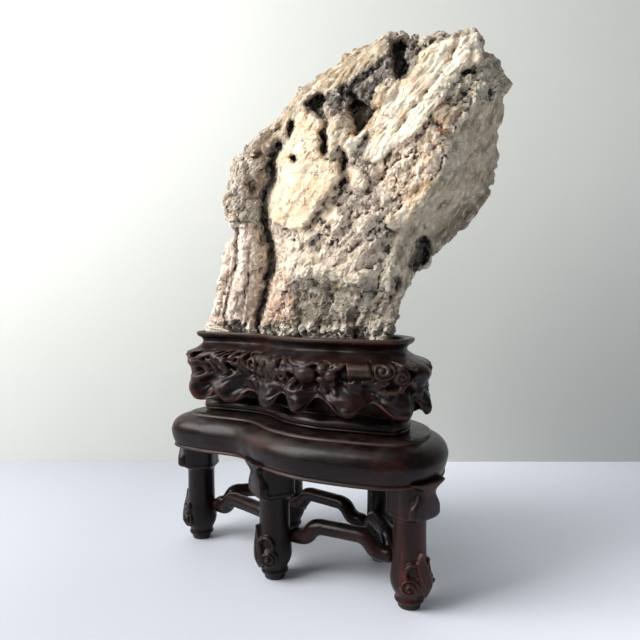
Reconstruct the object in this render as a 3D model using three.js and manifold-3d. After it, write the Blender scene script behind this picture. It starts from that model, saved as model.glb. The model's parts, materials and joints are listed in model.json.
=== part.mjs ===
// Scholar's rock standing in a carved cradle on a small kidney-shaped rosewood table.
// Millimetres, +Z up. The group is moved so that its origin is the middle of the foot print of
// its bounding box, on the surface that the five foot pads stand on. +X runs along the table.

import * as THREE from 'three';
import { mergeVertices } from 'three/addons/utils/BufferGeometryUtils.js';
import Module from 'manifold-3d';

const wasm = await Module();
wasm.setup();

// ---------------------------------------------------------------- driving dimensions

const GAP = 0.3;                                  // air left between touching pieces

const LEG_AXES = {                                // plan position and outward heading in degrees
  left: { x: -5, y: 7, heading: 206 },
  front: { x: 94, y: -13, heading: 243 },
  right: { x: 195, y: 7, heading: -14 },
  back_right: { x: 143.5, y: 59, heading: 42 },
  back_left: { x: 46, y: 66, heading: 122 },
};
const PAD_RADIUS = 7.6;
const PAD_HEIGHT = 3.6;
const SHAFT_RADIUS = 11.3;
const SWELL_RADIUS = 12.9;
const SWELL_HEIGHT = 18;
const COLLAR_HALF = 13.2;
const COLLAR_BOTTOM = 63;
const LEG_SEGMENTS = 12;

const ROD_RADIUS = 5.9;
const ROD_LOW = 30;
const ROD_HIGH = 39;
const ROD_SIDES = 5;                             // arc steps in half a turn of the rod
const ROD_STEPS = 14;

const TABLE_BOTTOM = 86;
const TABLE_BULGE = 98;
const TABLE_TOP = 113;
const PLINTH_TOP = 126;
const SEAT_HEIGHT = 175.5;
const RIM_TOP = 179;
const FOOT_INSET = 29;                            // stone's foot inside the table outline
const FOOT_SHIFT = [-6, 3];
const FOOT_HEIGHT = 4.5;
const HEM_LOBES = 13;
const HEM_PHASE = THREE.MathUtils.degToRad(215);  // where the first lobe hangs lowest

const PLAN_CENTRE = new THREE.Vector2(97, 32);
const PLAN_HALF = new THREE.Vector2(112, 62);     // sets how the ring points are spread
const RING_POINTS = 52;

// Widest outline of the table, anticlockwise from the left front corner.
const TABLE_OUTLINE = [
  [-9, -22], [26, -25], [62, -21], [95, -35], [130, -39], [166, -32], [197, -22], [212, -3],
  [213, 24], [200, 53], [172, 74], [130, 84], [84, 92], [44, 93], [11, 81], [-10, 52], [-17.5, 14],
];

const STONE_TURN = THREE.MathUtils.degToRad(35.6);   // broad face of the stone against the table
const STONE_POINTS = 36;
const STONE_STEPS = 2;                               // rings between two listed sections
const STONE_SQUARENESS = 0.8;                        // 1 is an ellipse, 0 a rectangle
// Level sections of the stone: height, middle along and behind its broad face, half length,
// half depth, and turn in degrees. The two lowest are the foot, which sits in the cradle.
const STONE_SECTIONS = [
  { z: 0, along: -15, behind: 8, length: 82, depth: 28, turn: -35.6 },
  { z: 4, along: -15, behind: 8, length: 82, depth: 28, turn: -35.6 },
  { z: 15, along: -15, behind: 5, length: 85, depth: 33, turn: -33 },
  { z: 38, along: -4, behind: 0, length: 80, depth: 37, turn: -28 },
  { z: 64, along: 13, behind: -4, length: 84, depth: 40, turn: -22 },
  { z: 91, along: 30, behind: -8, length: 90, depth: 42, turn: -15 },
  { z: 121, along: 39, behind: -11, length: 99, depth: 43, turn: -10 },
  { z: 149, along: 51, behind: -14, length: 88, depth: 42, turn: -10 },
  { z: 170, along: 64, behind: -16, length: 78, depth: 38, turn: -10 },
  { z: 191, along: 76, behind: -19, length: 67, depth: 31, turn: -8 },
  { z: 209, along: 82, behind: -21, length: 46, depth: 22, turn: -8 },
  { z: 222, along: 91, behind: -22, length: 32, depth: 11, turn: -6 },
  { z: 227, along: 92, behind: -22, length: 22, depth: 5, turn: -6 },
];

// ---------------------------------------------------------------- finishes

const ROSEWOOD = new THREE.MeshStandardMaterial({ color: 0x2a1512, roughness: 0.38, metalness: 0 });
const ROSEWOOD_RED = new THREE.MeshStandardMaterial({ color: 0x3a1a14, roughness: 0.36, metalness: 0 });
const PAD_BLACK = new THREE.MeshStandardMaterial({ color: 0x0c0b0b, roughness: 0.6, metalness: 0 });
const STONE = new THREE.MeshStandardMaterial({ color: 0xb9ab98, roughness: 0.9, metalness: 0 });

// ---------------------------------------------------------------- solids

function named(name, geometry, material) {
  const mesh = new THREE.Mesh(geometry, material.clone());
  mesh.name = name;
  return mesh;
}

// Merged positions only, which is what a solid needs.
function bare(geometry) {
  const copy = geometry.clone();
  copy.deleteAttribute('normal');
  copy.deleteAttribute('uv');
  return mergeVertices(copy, 1e-4);
}

// Six times the signed volume tells whether the faces point out.
function facesPointIn(geometry) {
  const position = geometry.attributes.position;
  const index = geometry.index.array;
  const corner = [new THREE.Vector3(), new THREE.Vector3(), new THREE.Vector3()];
  let volume = 0;
  for (let face = 0; face < index.length; face += 3) {
    corner.forEach((point, k) => point.fromBufferAttribute(position, index[face + k]));
    volume += corner[0].dot(corner[1].clone().cross(corner[2]));
  }
  return volume < 0;
}

function toSolid(geometry) {
  const merged = bare(geometry);
  const triVerts = Uint32Array.from(merged.index.array);
  if (facesPointIn(merged)) {
    triVerts.reverse();
  }
  const vertProperties = Float32Array.from(merged.attributes.position.array);
  return new wasm.Manifold(new wasm.Mesh({ numProp: 3, vertProperties, triVerts }));
}

function toGeometry(solid) {
  const mesh = solid.getMesh();
  const geometry = new THREE.BufferGeometry();
  geometry.setAttribute('position', new THREE.BufferAttribute(mesh.vertProperties, 3));
  geometry.setIndex(new THREE.BufferAttribute(mesh.triVerts, 1));
  geometry.computeVertexNormals();
  return geometry;
}

// Closed skin over level rings of equal length, listed from the underside up to the top.
function loft(rings) {
  const count = rings[0].length;
  const points = rings.flat();
  const index = [];
  for (let level = 0; level + 1 < rings.length; level += 1) {
    for (let k = 0; k < count; k += 1) {
      const next = (k + 1) % count;
      const a = level * count + k;
      const b = level * count + next;
      index.push(a, b, b + count, a, b + count, a + count);
    }
  }
  closeRing(points, index, rings, 0, true);
  closeRing(points, index, rings, rings.length - 1, false);
  const geometry = new THREE.BufferGeometry().setFromPoints(points);
  geometry.setIndex(index);
  geometry.computeVertexNormals();
  return geometry;
}

// Fan from the middle of a ring.
function closeRing(points, index, rings, level, faceDown) {
  const ring = rings[level];
  const count = ring.length;
  const middle = new THREE.Vector3();
  ring.forEach((point) => middle.addScaledVector(point, 1 / count));
  points.push(middle);
  const hub = points.length - 1;
  for (let k = 0; k < count; k += 1) {
    const a = level * count + k;
    const b = level * count + ((k + 1) % count);
    if (faceDown) {
      index.push(hub, b, a);
    } else {
      index.push(hub, a, b);
    }
  }
}

// ---------------------------------------------------------------- the kidney-shaped outline

// The outline drawn in by `inset` and moved by `shift`, as a dense closed polygon. The few given
// points are moved along the outline's own normals first, so that tight ends stay smooth.
function kidney(inset, shift) {
  const outer = new THREE.CatmullRomCurve3(
    TABLE_OUTLINE.map(([x, y]) => new THREE.Vector3(x, y, 0)), true, 'catmullrom', 0.5);
  const count = TABLE_OUTLINE.length;
  const moved = TABLE_OUTLINE.map(([x, y], k) => {
    const tangent = outer.getTangent(k / count);
    return new THREE.Vector3(x - tangent.y * inset + shift[0], y + tangent.x * inset + shift[1], 0);
  });
  const curve = new THREE.CatmullRomCurve3(moved, true, 'catmullrom', 0.5);
  return curve.getPoints(count * 12);
}

// Direction from the plan centre to ring point k, and its parameter on the guiding ellipse.
function spoke(k) {
  const turn = (2 * Math.PI * k) / RING_POINTS;
  const direction = new THREE.Vector2(PLAN_HALF.x * Math.cos(turn), PLAN_HALF.y * Math.sin(turn));
  return { turn, direction: direction.normalize() };
}

// Distance from the plan centre to a closed polygon along a direction.
function reach(polygon, direction) {
  for (let k = 0; k + 1 < polygon.length; k += 1) {
    const ax = polygon[k].x - PLAN_CENTRE.x;
    const ay = polygon[k].y - PLAN_CENTRE.y;
    const bx = polygon[k + 1].x - PLAN_CENTRE.x;
    const by = polygon[k + 1].y - PLAN_CENTRE.y;
    const sideA = direction.x * ay - direction.y * ax;
    const sideB = direction.x * by - direction.y * bx;
    const ahead = direction.x * ax + direction.y * ay > 0;
    if (ahead && sideA <= 0 && sideB > 0) {
      const share = sideA / (sideA - sideB);
      return Math.hypot(ax + (bx - ax) * share, ay + (by - ay) * share);
    }
  }
  throw new Error('the outline does not surround the plan centre');
}

// One level ring of the kidney outline. `swell` and `lift` add to the reach and height by turn.
function kidneyRing(inset, z, shift = [0, 0], swell = () => 0, lift = () => 0) {
  const polygon = kidney(inset, shift);
  const ring = [];
  for (let k = 0; k < RING_POINTS; k += 1) {
    const { turn, direction } = spoke(k);
    const distance = reach(polygon, direction) + swell(turn);
    ring.push(new THREE.Vector3(
      PLAN_CENTRE.x + direction.x * distance,
      PLAN_CENTRE.y + direction.y * distance,
      z + lift(turn)));
  }
  return ring;
}

// ---------------------------------------------------------------- table, plinth and cradle

// Thick board with a bullnose edge, a thin raised plate on top and a hollowed underside.
function tableTop() {
  const hollow = 10;
  return loft([
    kidneyRing(36, TABLE_BOTTOM + hollow),
    kidneyRing(35, TABLE_BOTTOM + 0.4),
    kidneyRing(33.5, TABLE_BOTTOM),
    kidneyRing(4.5, TABLE_BOTTOM),
    kidneyRing(2.6, TABLE_BOTTOM + 1.2),
    kidneyRing(0.6, TABLE_BULGE - 5),
    kidneyRing(0, TABLE_BULGE),
    kidneyRing(1.4, TABLE_BULGE + 5),
    kidneyRing(5.5, TABLE_BULGE + 9.5),
    kidneyRing(12.8, TABLE_BULGE + 12.4),
    kidneyRing(13.6, TABLE_TOP - 0.6, [0, 3]),
    kidneyRing(15, TABLE_TOP, [0, 4]),
  ]);
}

// Moulded foot of the cradle, a half-round under a cove that the hem hides.
function cradlePlinth() {
  const shift = [-2, 4];
  const bottom = TABLE_TOP + GAP;
  return loft([
    kidneyRing(29.5, bottom, shift),
    kidneyRing(26.6, bottom + 1.5, shift),
    kidneyRing(26, bottom + 5, shift),
    kidneyRing(28, bottom + 9, shift),
    kidneyRing(31, PLINTH_TOP, shift),
  ]);
}

// Height of the scalloped hem above its lowest line.
function hemLift(turn) {
  const depth = 11;
  return (depth / 2) * (1 - Math.cos(HEM_LOBES * (turn - HEM_PHASE)));
}

// The leaf folds stand out over the low lobes and sink between them.
function leafSwell(turn) {
  return 1.8 * Math.cos(HEM_LOBES * (turn - HEM_PHASE));
}

// Knots and swirls of the upper carving, at twice the rhythm of the hem.
function knotSwell(turn) {
  return 1.6 * Math.cos(2 * HEM_LOBES * (turn - HEM_PHASE) + 1.1 * Math.sin(3 * turn));
}

// Carved leaf-and-scroll bowl: scalloped hem, waist, knots, hollow neck and flared rim.
function cradle() {
  const hem = 123.5;
  const low = [-1, 2];
  const high = [-4, 3];
  const underside = PLINTH_TOP + GAP;
  return loft([
    kidneyRing(31, underside, low),
    kidneyRing(21, underside + 1, low, () => 0, (turn) => hemLift(turn) * 0.85),
    kidneyRing(17.5, hem + 0.6, low, leafSwell, hemLift),
    kidneyRing(15.2, hem, low, leafSwell, hemLift),
    kidneyRing(13, hem + 5, low, leafSwell, (turn) => hemLift(turn) * 0.7),
    kidneyRing(13.6, hem + 15, low, (turn) => leafSwell(turn) * 0.5, (turn) => hemLift(turn) * 0.2),
    kidneyRing(17.5, hem + 24, low, knotSwell),
    kidneyRing(14.5, hem + 34, low, knotSwell),
    kidneyRing(18, hem + 40.5, low, knotSwell),
    kidneyRing(26, hem + 45, high),
    kidneyRing(27, RIM_TOP - 8, high),
    kidneyRing(24, RIM_TOP - 4.5, high),
    kidneyRing(22.2, RIM_TOP - 2.2, high),
    kidneyRing(23.4, RIM_TOP, high),
    kidneyRing(FOOT_INSET - 2.6, RIM_TOP - 0.6, FOOT_SHIFT),
    kidneyRing(FOOT_INSET - 1.4, SEAT_HEIGHT, FOOT_SHIFT),
  ]);
}

// ---------------------------------------------------------------- the stone

// Point of a level section: a squared ellipse, turned and placed in the stone's own frame.
function sectionPoint(section, angle, height) {
  const cosine = Math.cos(angle);
  const sine = Math.sin(angle);
  const rounded = (value) => Math.sign(value) * Math.abs(value) ** STONE_SQUARENESS;
  const turn = THREE.MathUtils.degToRad(section.turn);
  const x = section.length * rounded(cosine);
  const y = section.depth * rounded(sine);
  const along = section.along + x * Math.cos(turn) - y * Math.sin(turn);
  const behind = section.behind + x * Math.sin(turn) + y * Math.cos(turn);
  return new THREE.Vector3(
    PLAN_CENTRE.x + along * Math.cos(STONE_TURN) - behind * Math.sin(STONE_TURN),
    PLAN_CENTRE.y + along * Math.sin(STONE_TURN) + behind * Math.cos(STONE_TURN),
    SEAT_HEIGHT + GAP + height);
}

// The stone's foot is cut to the socket: a ring point is moved out to the drawn-in kidney outline.
function footPoint(point) {
  const direction = new THREE.Vector2(point.x - PLAN_CENTRE.x, point.y - PLAN_CENTRE.y).normalize();
  const distance = reach(kidney(FOOT_INSET, FOOT_SHIFT), direction);
  return new THREE.Vector3(
    PLAN_CENTRE.x + direction.x * distance,
    PLAN_CENTRE.y + direction.y * distance,
    point.z);
}

function between(lower, upper, share) {
  const mixed = {};
  for (const key of Object.keys(lower)) {
    mixed[key] = THREE.MathUtils.lerp(lower[key], upper[key], share);
  }
  return mixed;
}

// Weathered lumps: three crossed waves, kept away from the foot and the very top.
function lumps(angle, height) {
  const fade = THREE.MathUtils.smoothstep(height, 6, 30);
  const broad = 0.030 * Math.sin(5 * angle + height / 17);
  const middle = 0.022 * Math.sin(9 * angle - height / 11 + 1.3);
  const fine = 0.016 * Math.sin(14 * angle + height / 7 + 0.4);
  return 1 + fade * (broad + middle + fine);
}

// Leaning quartz-bearing stone, one solid.
function stone() {
  const rings = [];
  for (let level = 0; level + 1 < STONE_SECTIONS.length; level += 1) {
    for (let step = 0; step < STONE_STEPS; step += 1) {
      rings.push(between(STONE_SECTIONS[level], STONE_SECTIONS[level + 1], step / STONE_STEPS));
    }
  }
  rings.push(STONE_SECTIONS.at(-1));
  return loft(rings.map((section) => {
    const ring = [];
    for (let k = 0; k < STONE_POINTS; k += 1) {
      const angle = (2 * Math.PI * k) / STONE_POINTS;
      const scale = lumps(angle, section.z);
      const grown = { ...section, length: section.length * scale, depth: section.depth * scale };
      const point = sectionPoint(grown, angle, section.z);
      ring.push(section.z <= FOOT_HEIGHT ? footPoint(point) : point);
    }
    return ring;
  }));
}

// ---------------------------------------------------------------- legs, pads and stretchers

// Turned shaft with a swollen foot and a small ring where it meets the pad.
function legShaft() {
  const bottom = PAD_HEIGHT + GAP;
  const profile = [
    [0, bottom],
    [8.6, bottom],
    [9.9, bottom + 1.6],
    [9.4, bottom + 4],
    [11.2, SWELL_HEIGHT - 6],
    [SWELL_RADIUS, SWELL_HEIGHT],
    [12.4, SWELL_HEIGHT + 7],
    [SHAFT_RADIUS, SWELL_HEIGHT + 16],
    [SHAFT_RADIUS, COLLAR_BOTTOM + 4],
    [0, COLLAR_BOTTOM + 4],
  ];
  const lathe = new THREE.LatheGeometry(
    profile.map(([radius, z]) => new THREE.Vector2(radius, z)), LEG_SEGMENTS);
  return toSolid(lathe.rotateX(Math.PI / 2));
}

// Square collar with rounded corners, up to the underside of the table.
function legCollar() {
  const corner = 6;
  const half = COLLAR_HALF;
  const shape = new THREE.Shape();
  shape.moveTo(-half + corner, -half);
  shape.lineTo(half - corner, -half);
  shape.absarc(half - corner, -half + corner, corner, -Math.PI / 2, 0);
  shape.lineTo(half, half - corner);
  shape.absarc(half - corner, half - corner, corner, 0, Math.PI / 2);
  shape.lineTo(-half + corner, half);
  shape.absarc(-half + corner, half - corner, corner, Math.PI / 2, Math.PI);
  shape.lineTo(-half, -half + corner);
  shape.absarc(-half + corner, -half + corner, corner, Math.PI, 1.5 * Math.PI);
  const depth = TABLE_BOTTOM - GAP - COLLAR_BOTTOM;
  const geometry = new THREE.ExtrudeGeometry(shape, { depth, bevelEnabled: false, curveSegments: 3 });
  return toSolid(geometry.translate(0, 0, COLLAR_BOTTOM));
}

// Bell-shaped tab that hangs from the table's edge over the outward face of the collar.
function legTab() {
  const top = TABLE_BOTTOM - GAP;
  const bottom = COLLAR_BOTTOM - 1;
  const neck = 8;
  const bell = 13;
  const shape = new THREE.Shape();
  shape.moveTo(-neck, top);
  shape.quadraticCurveTo(-neck, top - 9, -bell, top - 13);
  shape.quadraticCurveTo(-bell - 1, bottom + 2, -bell + 4, bottom);
  shape.lineTo(bell - 4, bottom);
  shape.quadraticCurveTo(bell + 1, bottom + 2, bell, top - 13);
  shape.quadraticCurveTo(neck, top - 9, neck, top);
  shape.closePath();
  const depth = 6;
  const geometry = new THREE.ExtrudeGeometry(shape, { depth, bevelEnabled: false, curveSegments: 4 });
  geometry.rotateX(Math.PI / 2);
  geometry.rotateZ(Math.PI / 2);
  return toSolid(geometry.translate(COLLAR_HALF - 2, 0, 0));
}

// Flame leaf on the outward side of the swollen foot.
function footLeaf() {
  const tip = SWELL_HEIGHT + 22;
  const shape = new THREE.Shape();
  shape.moveTo(-6.5, SWELL_HEIGHT - 7);
  shape.quadraticCurveTo(-8.5, SWELL_HEIGHT + 6, 0, tip);
  shape.quadraticCurveTo(8.5, SWELL_HEIGHT + 6, 6.5, SWELL_HEIGHT - 7);
  shape.closePath();
  const depth = 6;
  const geometry = new THREE.ExtrudeGeometry(shape, { depth, bevelEnabled: false, curveSegments: 4 });
  geometry.rotateX(Math.PI / 2);
  geometry.rotateZ(Math.PI / 2);
  return toSolid(geometry.translate(SWELL_RADIUS - 3.5, 0, 0));
}

// Boss of the spiral scroll beside the leaf.
function footScroll(side) {
  const boss = new THREE.CylinderGeometry(5.2, 5.8, 5, 8);
  boss.rotateZ(-Math.PI / 2);
  boss.translate(SWELL_RADIUS - 1.4, 0, SWELL_HEIGHT);
  return toSolid(boss.rotateZ(side * THREE.MathUtils.degToRad(48)));
}

function leg() {
  return toGeometry(
    legShaft().add(legCollar()).add(legTab()).add(footLeaf()).add(footScroll(1)).add(footScroll(-1)));
}

function pad() {
  return new THREE.CylinderGeometry(PAD_RADIUS, PAD_RADIUS - 0.4, PAD_HEIGHT, 12)
    .rotateX(Math.PI / 2)
    .translate(0, 0, PAD_HEIGHT / 2);
}

// Where two stretchers meet, against the inner side of a leg.
function ringCorner(axis) {
  const heading = THREE.MathUtils.degToRad(axis.heading);
  return new THREE.Vector3(
    axis.x - SHAFT_RADIUS * Math.cos(heading),
    axis.y - SHAFT_RADIUS * Math.sin(heading),
    ROD_LOW);
}

// Everything on the far side of the mitre at a corner, as a block to cut away.
function beyondMitre(corner, inward, keepToward) {
  const size = 60;
  const across = new THREE.Vector3(-inward.y, inward.x, 0);
  if (across.dot(keepToward) > 0) {
    across.negate();
  }
  const block = new THREE.BoxGeometry(size, size, size);
  block.rotateZ(Math.atan2(across.y, across.x));
  const centre = corner.clone().addScaledVector(across, size / 2 - GAP);
  return toSolid(block.translate(centre.x, centre.y, centre.z));
}

// Round rod that leaves one leg low, rises over most of its length and drops to the next leg.
function stretcher(from, to) {
  const start = ringCorner(from);
  const end = ringCorner(to);
  const run = new THREE.Vector3().subVectors(end, start);
  const levels = [[-0.04, 0], [0.1, 0], [0.18, 0.12], [0.3, 1], [0.5, 1.04], [0.7, 1], [0.82, 0.12],
    [0.9, 0], [1.04, 0]];
  const points = levels.map(([share, rise]) => start.clone()
    .addScaledVector(run, share)
    .add(new THREE.Vector3(0, 0, rise * (ROD_HIGH - ROD_LOW))));
  const circle = new THREE.Shape();
  circle.absarc(0, 0, ROD_RADIUS, 0, 2 * Math.PI);
  const rod = new THREE.ExtrudeGeometry(circle, {
    steps: ROD_STEPS,
    curveSegments: ROD_SIDES,
    bevelEnabled: false,
    extrudePath: new THREE.CatmullRomCurve3(points),
  });
  let solid = toSolid(rod);
  for (const [axis, corner, toward] of [[from, start, run], [to, end, run.clone().negate()]]) {
    const shaft = new THREE.CylinderGeometry(SWELL_RADIUS + GAP, SWELL_RADIUS + GAP, 90, 24);
    shaft.rotateX(Math.PI / 2);
    solid = solid.subtract(toSolid(shaft.translate(axis.x, axis.y, ROD_LOW)));
    const heading = THREE.MathUtils.degToRad(axis.heading);
    const inward = new THREE.Vector3(-Math.cos(heading), -Math.sin(heading), 0);
    solid = solid.subtract(beyondMitre(corner, inward, toward));
  }
  return toGeometry(solid);
}

// ---------------------------------------------------------------- assembly

const group = new THREE.Group();
const assembly = new THREE.Group();
group.add(assembly);

assembly.add(named('scholars_stone', stone(), STONE));
assembly.add(named('carved_cradle', cradle(), ROSEWOOD));
assembly.add(named('cradle_plinth', cradlePlinth(), ROSEWOOD));
assembly.add(named('table_top', tableTop(), ROSEWOOD));

for (const [place, axis] of Object.entries(LEG_AXES)) {
  const legMesh = named(`leg_${place}`, leg(), ROSEWOOD_RED);
  legMesh.position.set(axis.x, axis.y, 0);
  legMesh.rotation.z = THREE.MathUtils.degToRad(axis.heading);
  assembly.add(legMesh);
  const padMesh = named(`foot_pad_${place}`, pad(), PAD_BLACK);
  padMesh.position.set(axis.x, axis.y, 0);
  assembly.add(padMesh);
}

const places = Object.keys(LEG_AXES);
places.forEach((place, k) => {
  const next = places[(k + 1) % places.length];
  const rod = stretcher(LEG_AXES[place], LEG_AXES[next]);
  assembly.add(named(`stretcher_${place}_to_${next}`, rod, ROSEWOOD));
});

const box = new THREE.Box3().setFromObject(assembly);
const middle = box.getCenter(new THREE.Vector3());
assembly.position.set(-middle.x, -middle.y, 0);

export default group;
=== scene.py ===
"""A leaning quartz-veined scholar's rock in a carved rosewood cradle on a five-legged kidney table.

Shapes are worked out in millimetres in the workshop frame: the floor is z = 0, +X runs along the table
and the left leg stands at (-5, 7). `Workshop.place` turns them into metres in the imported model's frame.
"""

import json
import logging
import math
from dataclasses import dataclass, field
from enum import Enum

import bpy
import numpy as np
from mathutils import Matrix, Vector

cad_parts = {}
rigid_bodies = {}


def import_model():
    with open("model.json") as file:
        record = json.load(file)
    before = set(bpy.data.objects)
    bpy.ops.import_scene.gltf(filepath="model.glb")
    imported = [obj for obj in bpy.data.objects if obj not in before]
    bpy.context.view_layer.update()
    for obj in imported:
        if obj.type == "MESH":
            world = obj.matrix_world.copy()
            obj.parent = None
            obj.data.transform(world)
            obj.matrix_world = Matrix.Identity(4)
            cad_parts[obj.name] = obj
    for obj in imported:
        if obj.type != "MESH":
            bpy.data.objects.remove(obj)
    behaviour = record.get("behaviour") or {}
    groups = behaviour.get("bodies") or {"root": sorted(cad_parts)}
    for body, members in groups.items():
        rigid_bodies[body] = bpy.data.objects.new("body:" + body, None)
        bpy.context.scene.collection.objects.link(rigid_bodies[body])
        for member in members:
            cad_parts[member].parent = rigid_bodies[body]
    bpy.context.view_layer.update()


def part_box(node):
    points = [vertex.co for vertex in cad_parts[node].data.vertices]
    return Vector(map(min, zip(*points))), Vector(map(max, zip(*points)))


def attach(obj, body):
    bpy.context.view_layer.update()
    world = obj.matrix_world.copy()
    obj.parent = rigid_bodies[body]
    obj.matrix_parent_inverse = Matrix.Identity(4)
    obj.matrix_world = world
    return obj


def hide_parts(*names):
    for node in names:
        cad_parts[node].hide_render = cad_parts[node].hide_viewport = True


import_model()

BODY = "root"
MILLIMETRE = 0.001
BEDDING = math.radians(54)             # lean of the rock's bedding, over the level
STONE_TURN = math.radians(35.6)        # turn of the stone's broad face against the table
SOCKET_SHIFT = (-6.0, 3.0)             # move of the socket in plan against the table's outline
LOG = logging.getLogger("scholars_rock")

Array = np.ndarray
Colour = tuple[float, float, float, float]         # linear red, green, blue and alpha
Sockets = dict[str | int, object]                  # value or output socket for each input
Outline = tuple[tuple[float, float], ...]          # places on a flat sheet
Line = tuple[tuple[float, float, float], ...]      # (w, u, v) of the stone's own frame


class Slot(Enum):
    """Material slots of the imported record."""

    STONE = "stone"
    ROSEWOOD = "rosewood"
    FOOT_PAD = "foot_pad"


class Place(Enum):
    """Where a leg stands under the table; the value is the end of its piece names."""

    LEFT = "left"
    FRONT = "front"
    RIGHT = "right"
    BACK_RIGHT = "back_right"
    BACK_LEFT = "back_left"


HEADINGS: dict[Place, float] = {      # degrees that each leg's carved side faces, from +X
    Place.LEFT: 206.0,
    Place.FRONT: 243.0,
    Place.RIGHT: -14.0,
    Place.BACK_RIGHT: 42.0,
    Place.BACK_LEFT: 122.0,
}


# ------------------------------------------------------------------ the workshop frame


class Workshop:
    """The millimetre frame in which every shape is worked out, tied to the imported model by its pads."""

    left_axis = np.array([-5.0, 7.0])

    def __init__(self) -> None:
        """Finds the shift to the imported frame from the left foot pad, and the heights from the boxes."""
        centre = self.pad_centre(Place.LEFT)
        self.shift = np.array([*(centre - self.left_axis), 0.0])
        self.pad_height = self.top("foot_pad_left")
        self.table_bottom = self.bottom("table_top")
        self.table_top = self.top("table_top")
        self.plinth_bottom = self.bottom("cradle_plinth")
        self.plinth_top = self.top("cradle_plinth")
        self.rim_top = self.top("carved_cradle")
        self.seat = self.bottom("scholars_stone")

    @staticmethod
    def pad_centre(place: Place) -> Array:
        """Middle of a foot pad's box in plan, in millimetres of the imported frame."""
        low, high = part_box(f"foot_pad_{place.value}")
        return (np.array(low)[:2] + np.array(high)[:2]) / 2 / MILLIMETRE

    @staticmethod
    def bottom(node: str) -> float:
        """Lowest height of a node in millimetres."""
        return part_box(node)[0].z / MILLIMETRE

    @staticmethod
    def top(node: str) -> float:
        """Highest height of a node in millimetres."""
        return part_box(node)[1].z / MILLIMETRE

    def leg_axis(self, place: Place) -> Array:
        """Plan position of a leg's axis in the workshop frame."""
        return self.pad_centre(place) - self.shift[:2]

    def place(self, points: Array) -> Array:
        """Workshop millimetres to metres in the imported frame."""
        return (points + self.shift) * MILLIMETRE


# ------------------------------------------------------------------ small mathematics


def smoothstep(low: float, high: float, value: Array) -> Array:
    """Zero below `low`, one above `high`, and the cubic 3t^2 - 2t^3 between them.

    Args:
        low: value where the step starts; it may be above `high`, which turns the step round.
        high: value where the step ends.
        value: numbers to step.
    Returns:
        Numbers from 0 to 1.
    """
    share = np.clip((value - low) / (high - low), 0.0, 1.0)
    return share * share * (3.0 - 2.0 * share)


def hump(distance: Array, width: float | Array) -> Array:
    """The bell exp(-(distance / width)^2)."""
    return np.exp(-np.square(distance / width))


def mix(first: Array | float, second: Array | float, share: Array | float) -> Array:
    """Straight mix of two values."""
    return first + (second - first) * share


def full_turn(count: int) -> Array:
    """Even angles once round, in radians."""
    return np.linspace(0, 2 * np.pi, count, endpoint=False)


def xyz(*parts: Array | float) -> Array:
    """Coordinates of one or several arrays each, spread over a common grid of points."""
    return np.stack(np.broadcast_arrays(*parts), axis=-1)


def catmull_rom(points: Array, steps: int, closed: bool) -> Array:
    """Uniform Catmull-Rom curve through points, `steps` samples to a span.

    Args:
        points: (n, k) control points.
        steps: samples in each span.
        closed: joins the last point to the first.
    Returns:
        (m, k) samples. An open curve also holds its last point.
    """
    if closed:
        before, start, end, after = (np.roll(points, shift, axis=0) for shift in (1, 0, -1, -2))
    else:
        padded = np.vstack([2 * points[0] - points[1], points, 2 * points[-1] - points[-2]])
        before, start, end, after = padded[:-3], padded[1:-2], padded[2:-1], padded[3:]
    t = np.linspace(0.0, 1.0, steps, endpoint=False)[None, :, None]
    before, start, end, after = (part[:, None, :] for part in (before, start, end, after))
    curve = 0.5 * (
        2 * start
        + (end - before) * t
        + (2 * before - 5 * start + 4 * end - after) * t**2
        + (3 * start - before - 3 * end + after) * t**3
    ).reshape(-1, points.shape[1])
    return curve if closed else np.vstack([curve, points[-1]])


def even_path(points: Array | list, count: int, measured: int = 2) -> Array:
    """Catmull-Rom path through points, resampled evenly along its length.

    Args:
        points: (n, k) control points, the first `measured` columns being lengths.
        count: samples on the whole path.
        measured: columns that count towards the length.
    Returns:
        (count, k) samples.
    """
    dense = catmull_rom(np.asarray(points, float), 24, closed=False)
    length = np.linalg.norm(np.diff(dense[:, :measured], axis=0), axis=1)
    run = np.concatenate([[0.0], np.cumsum(length)])
    wanted = np.linspace(0.0, run[-1], count)
    return np.stack([np.interp(wanted, run, column) for column in dense.T], axis=1)


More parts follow.
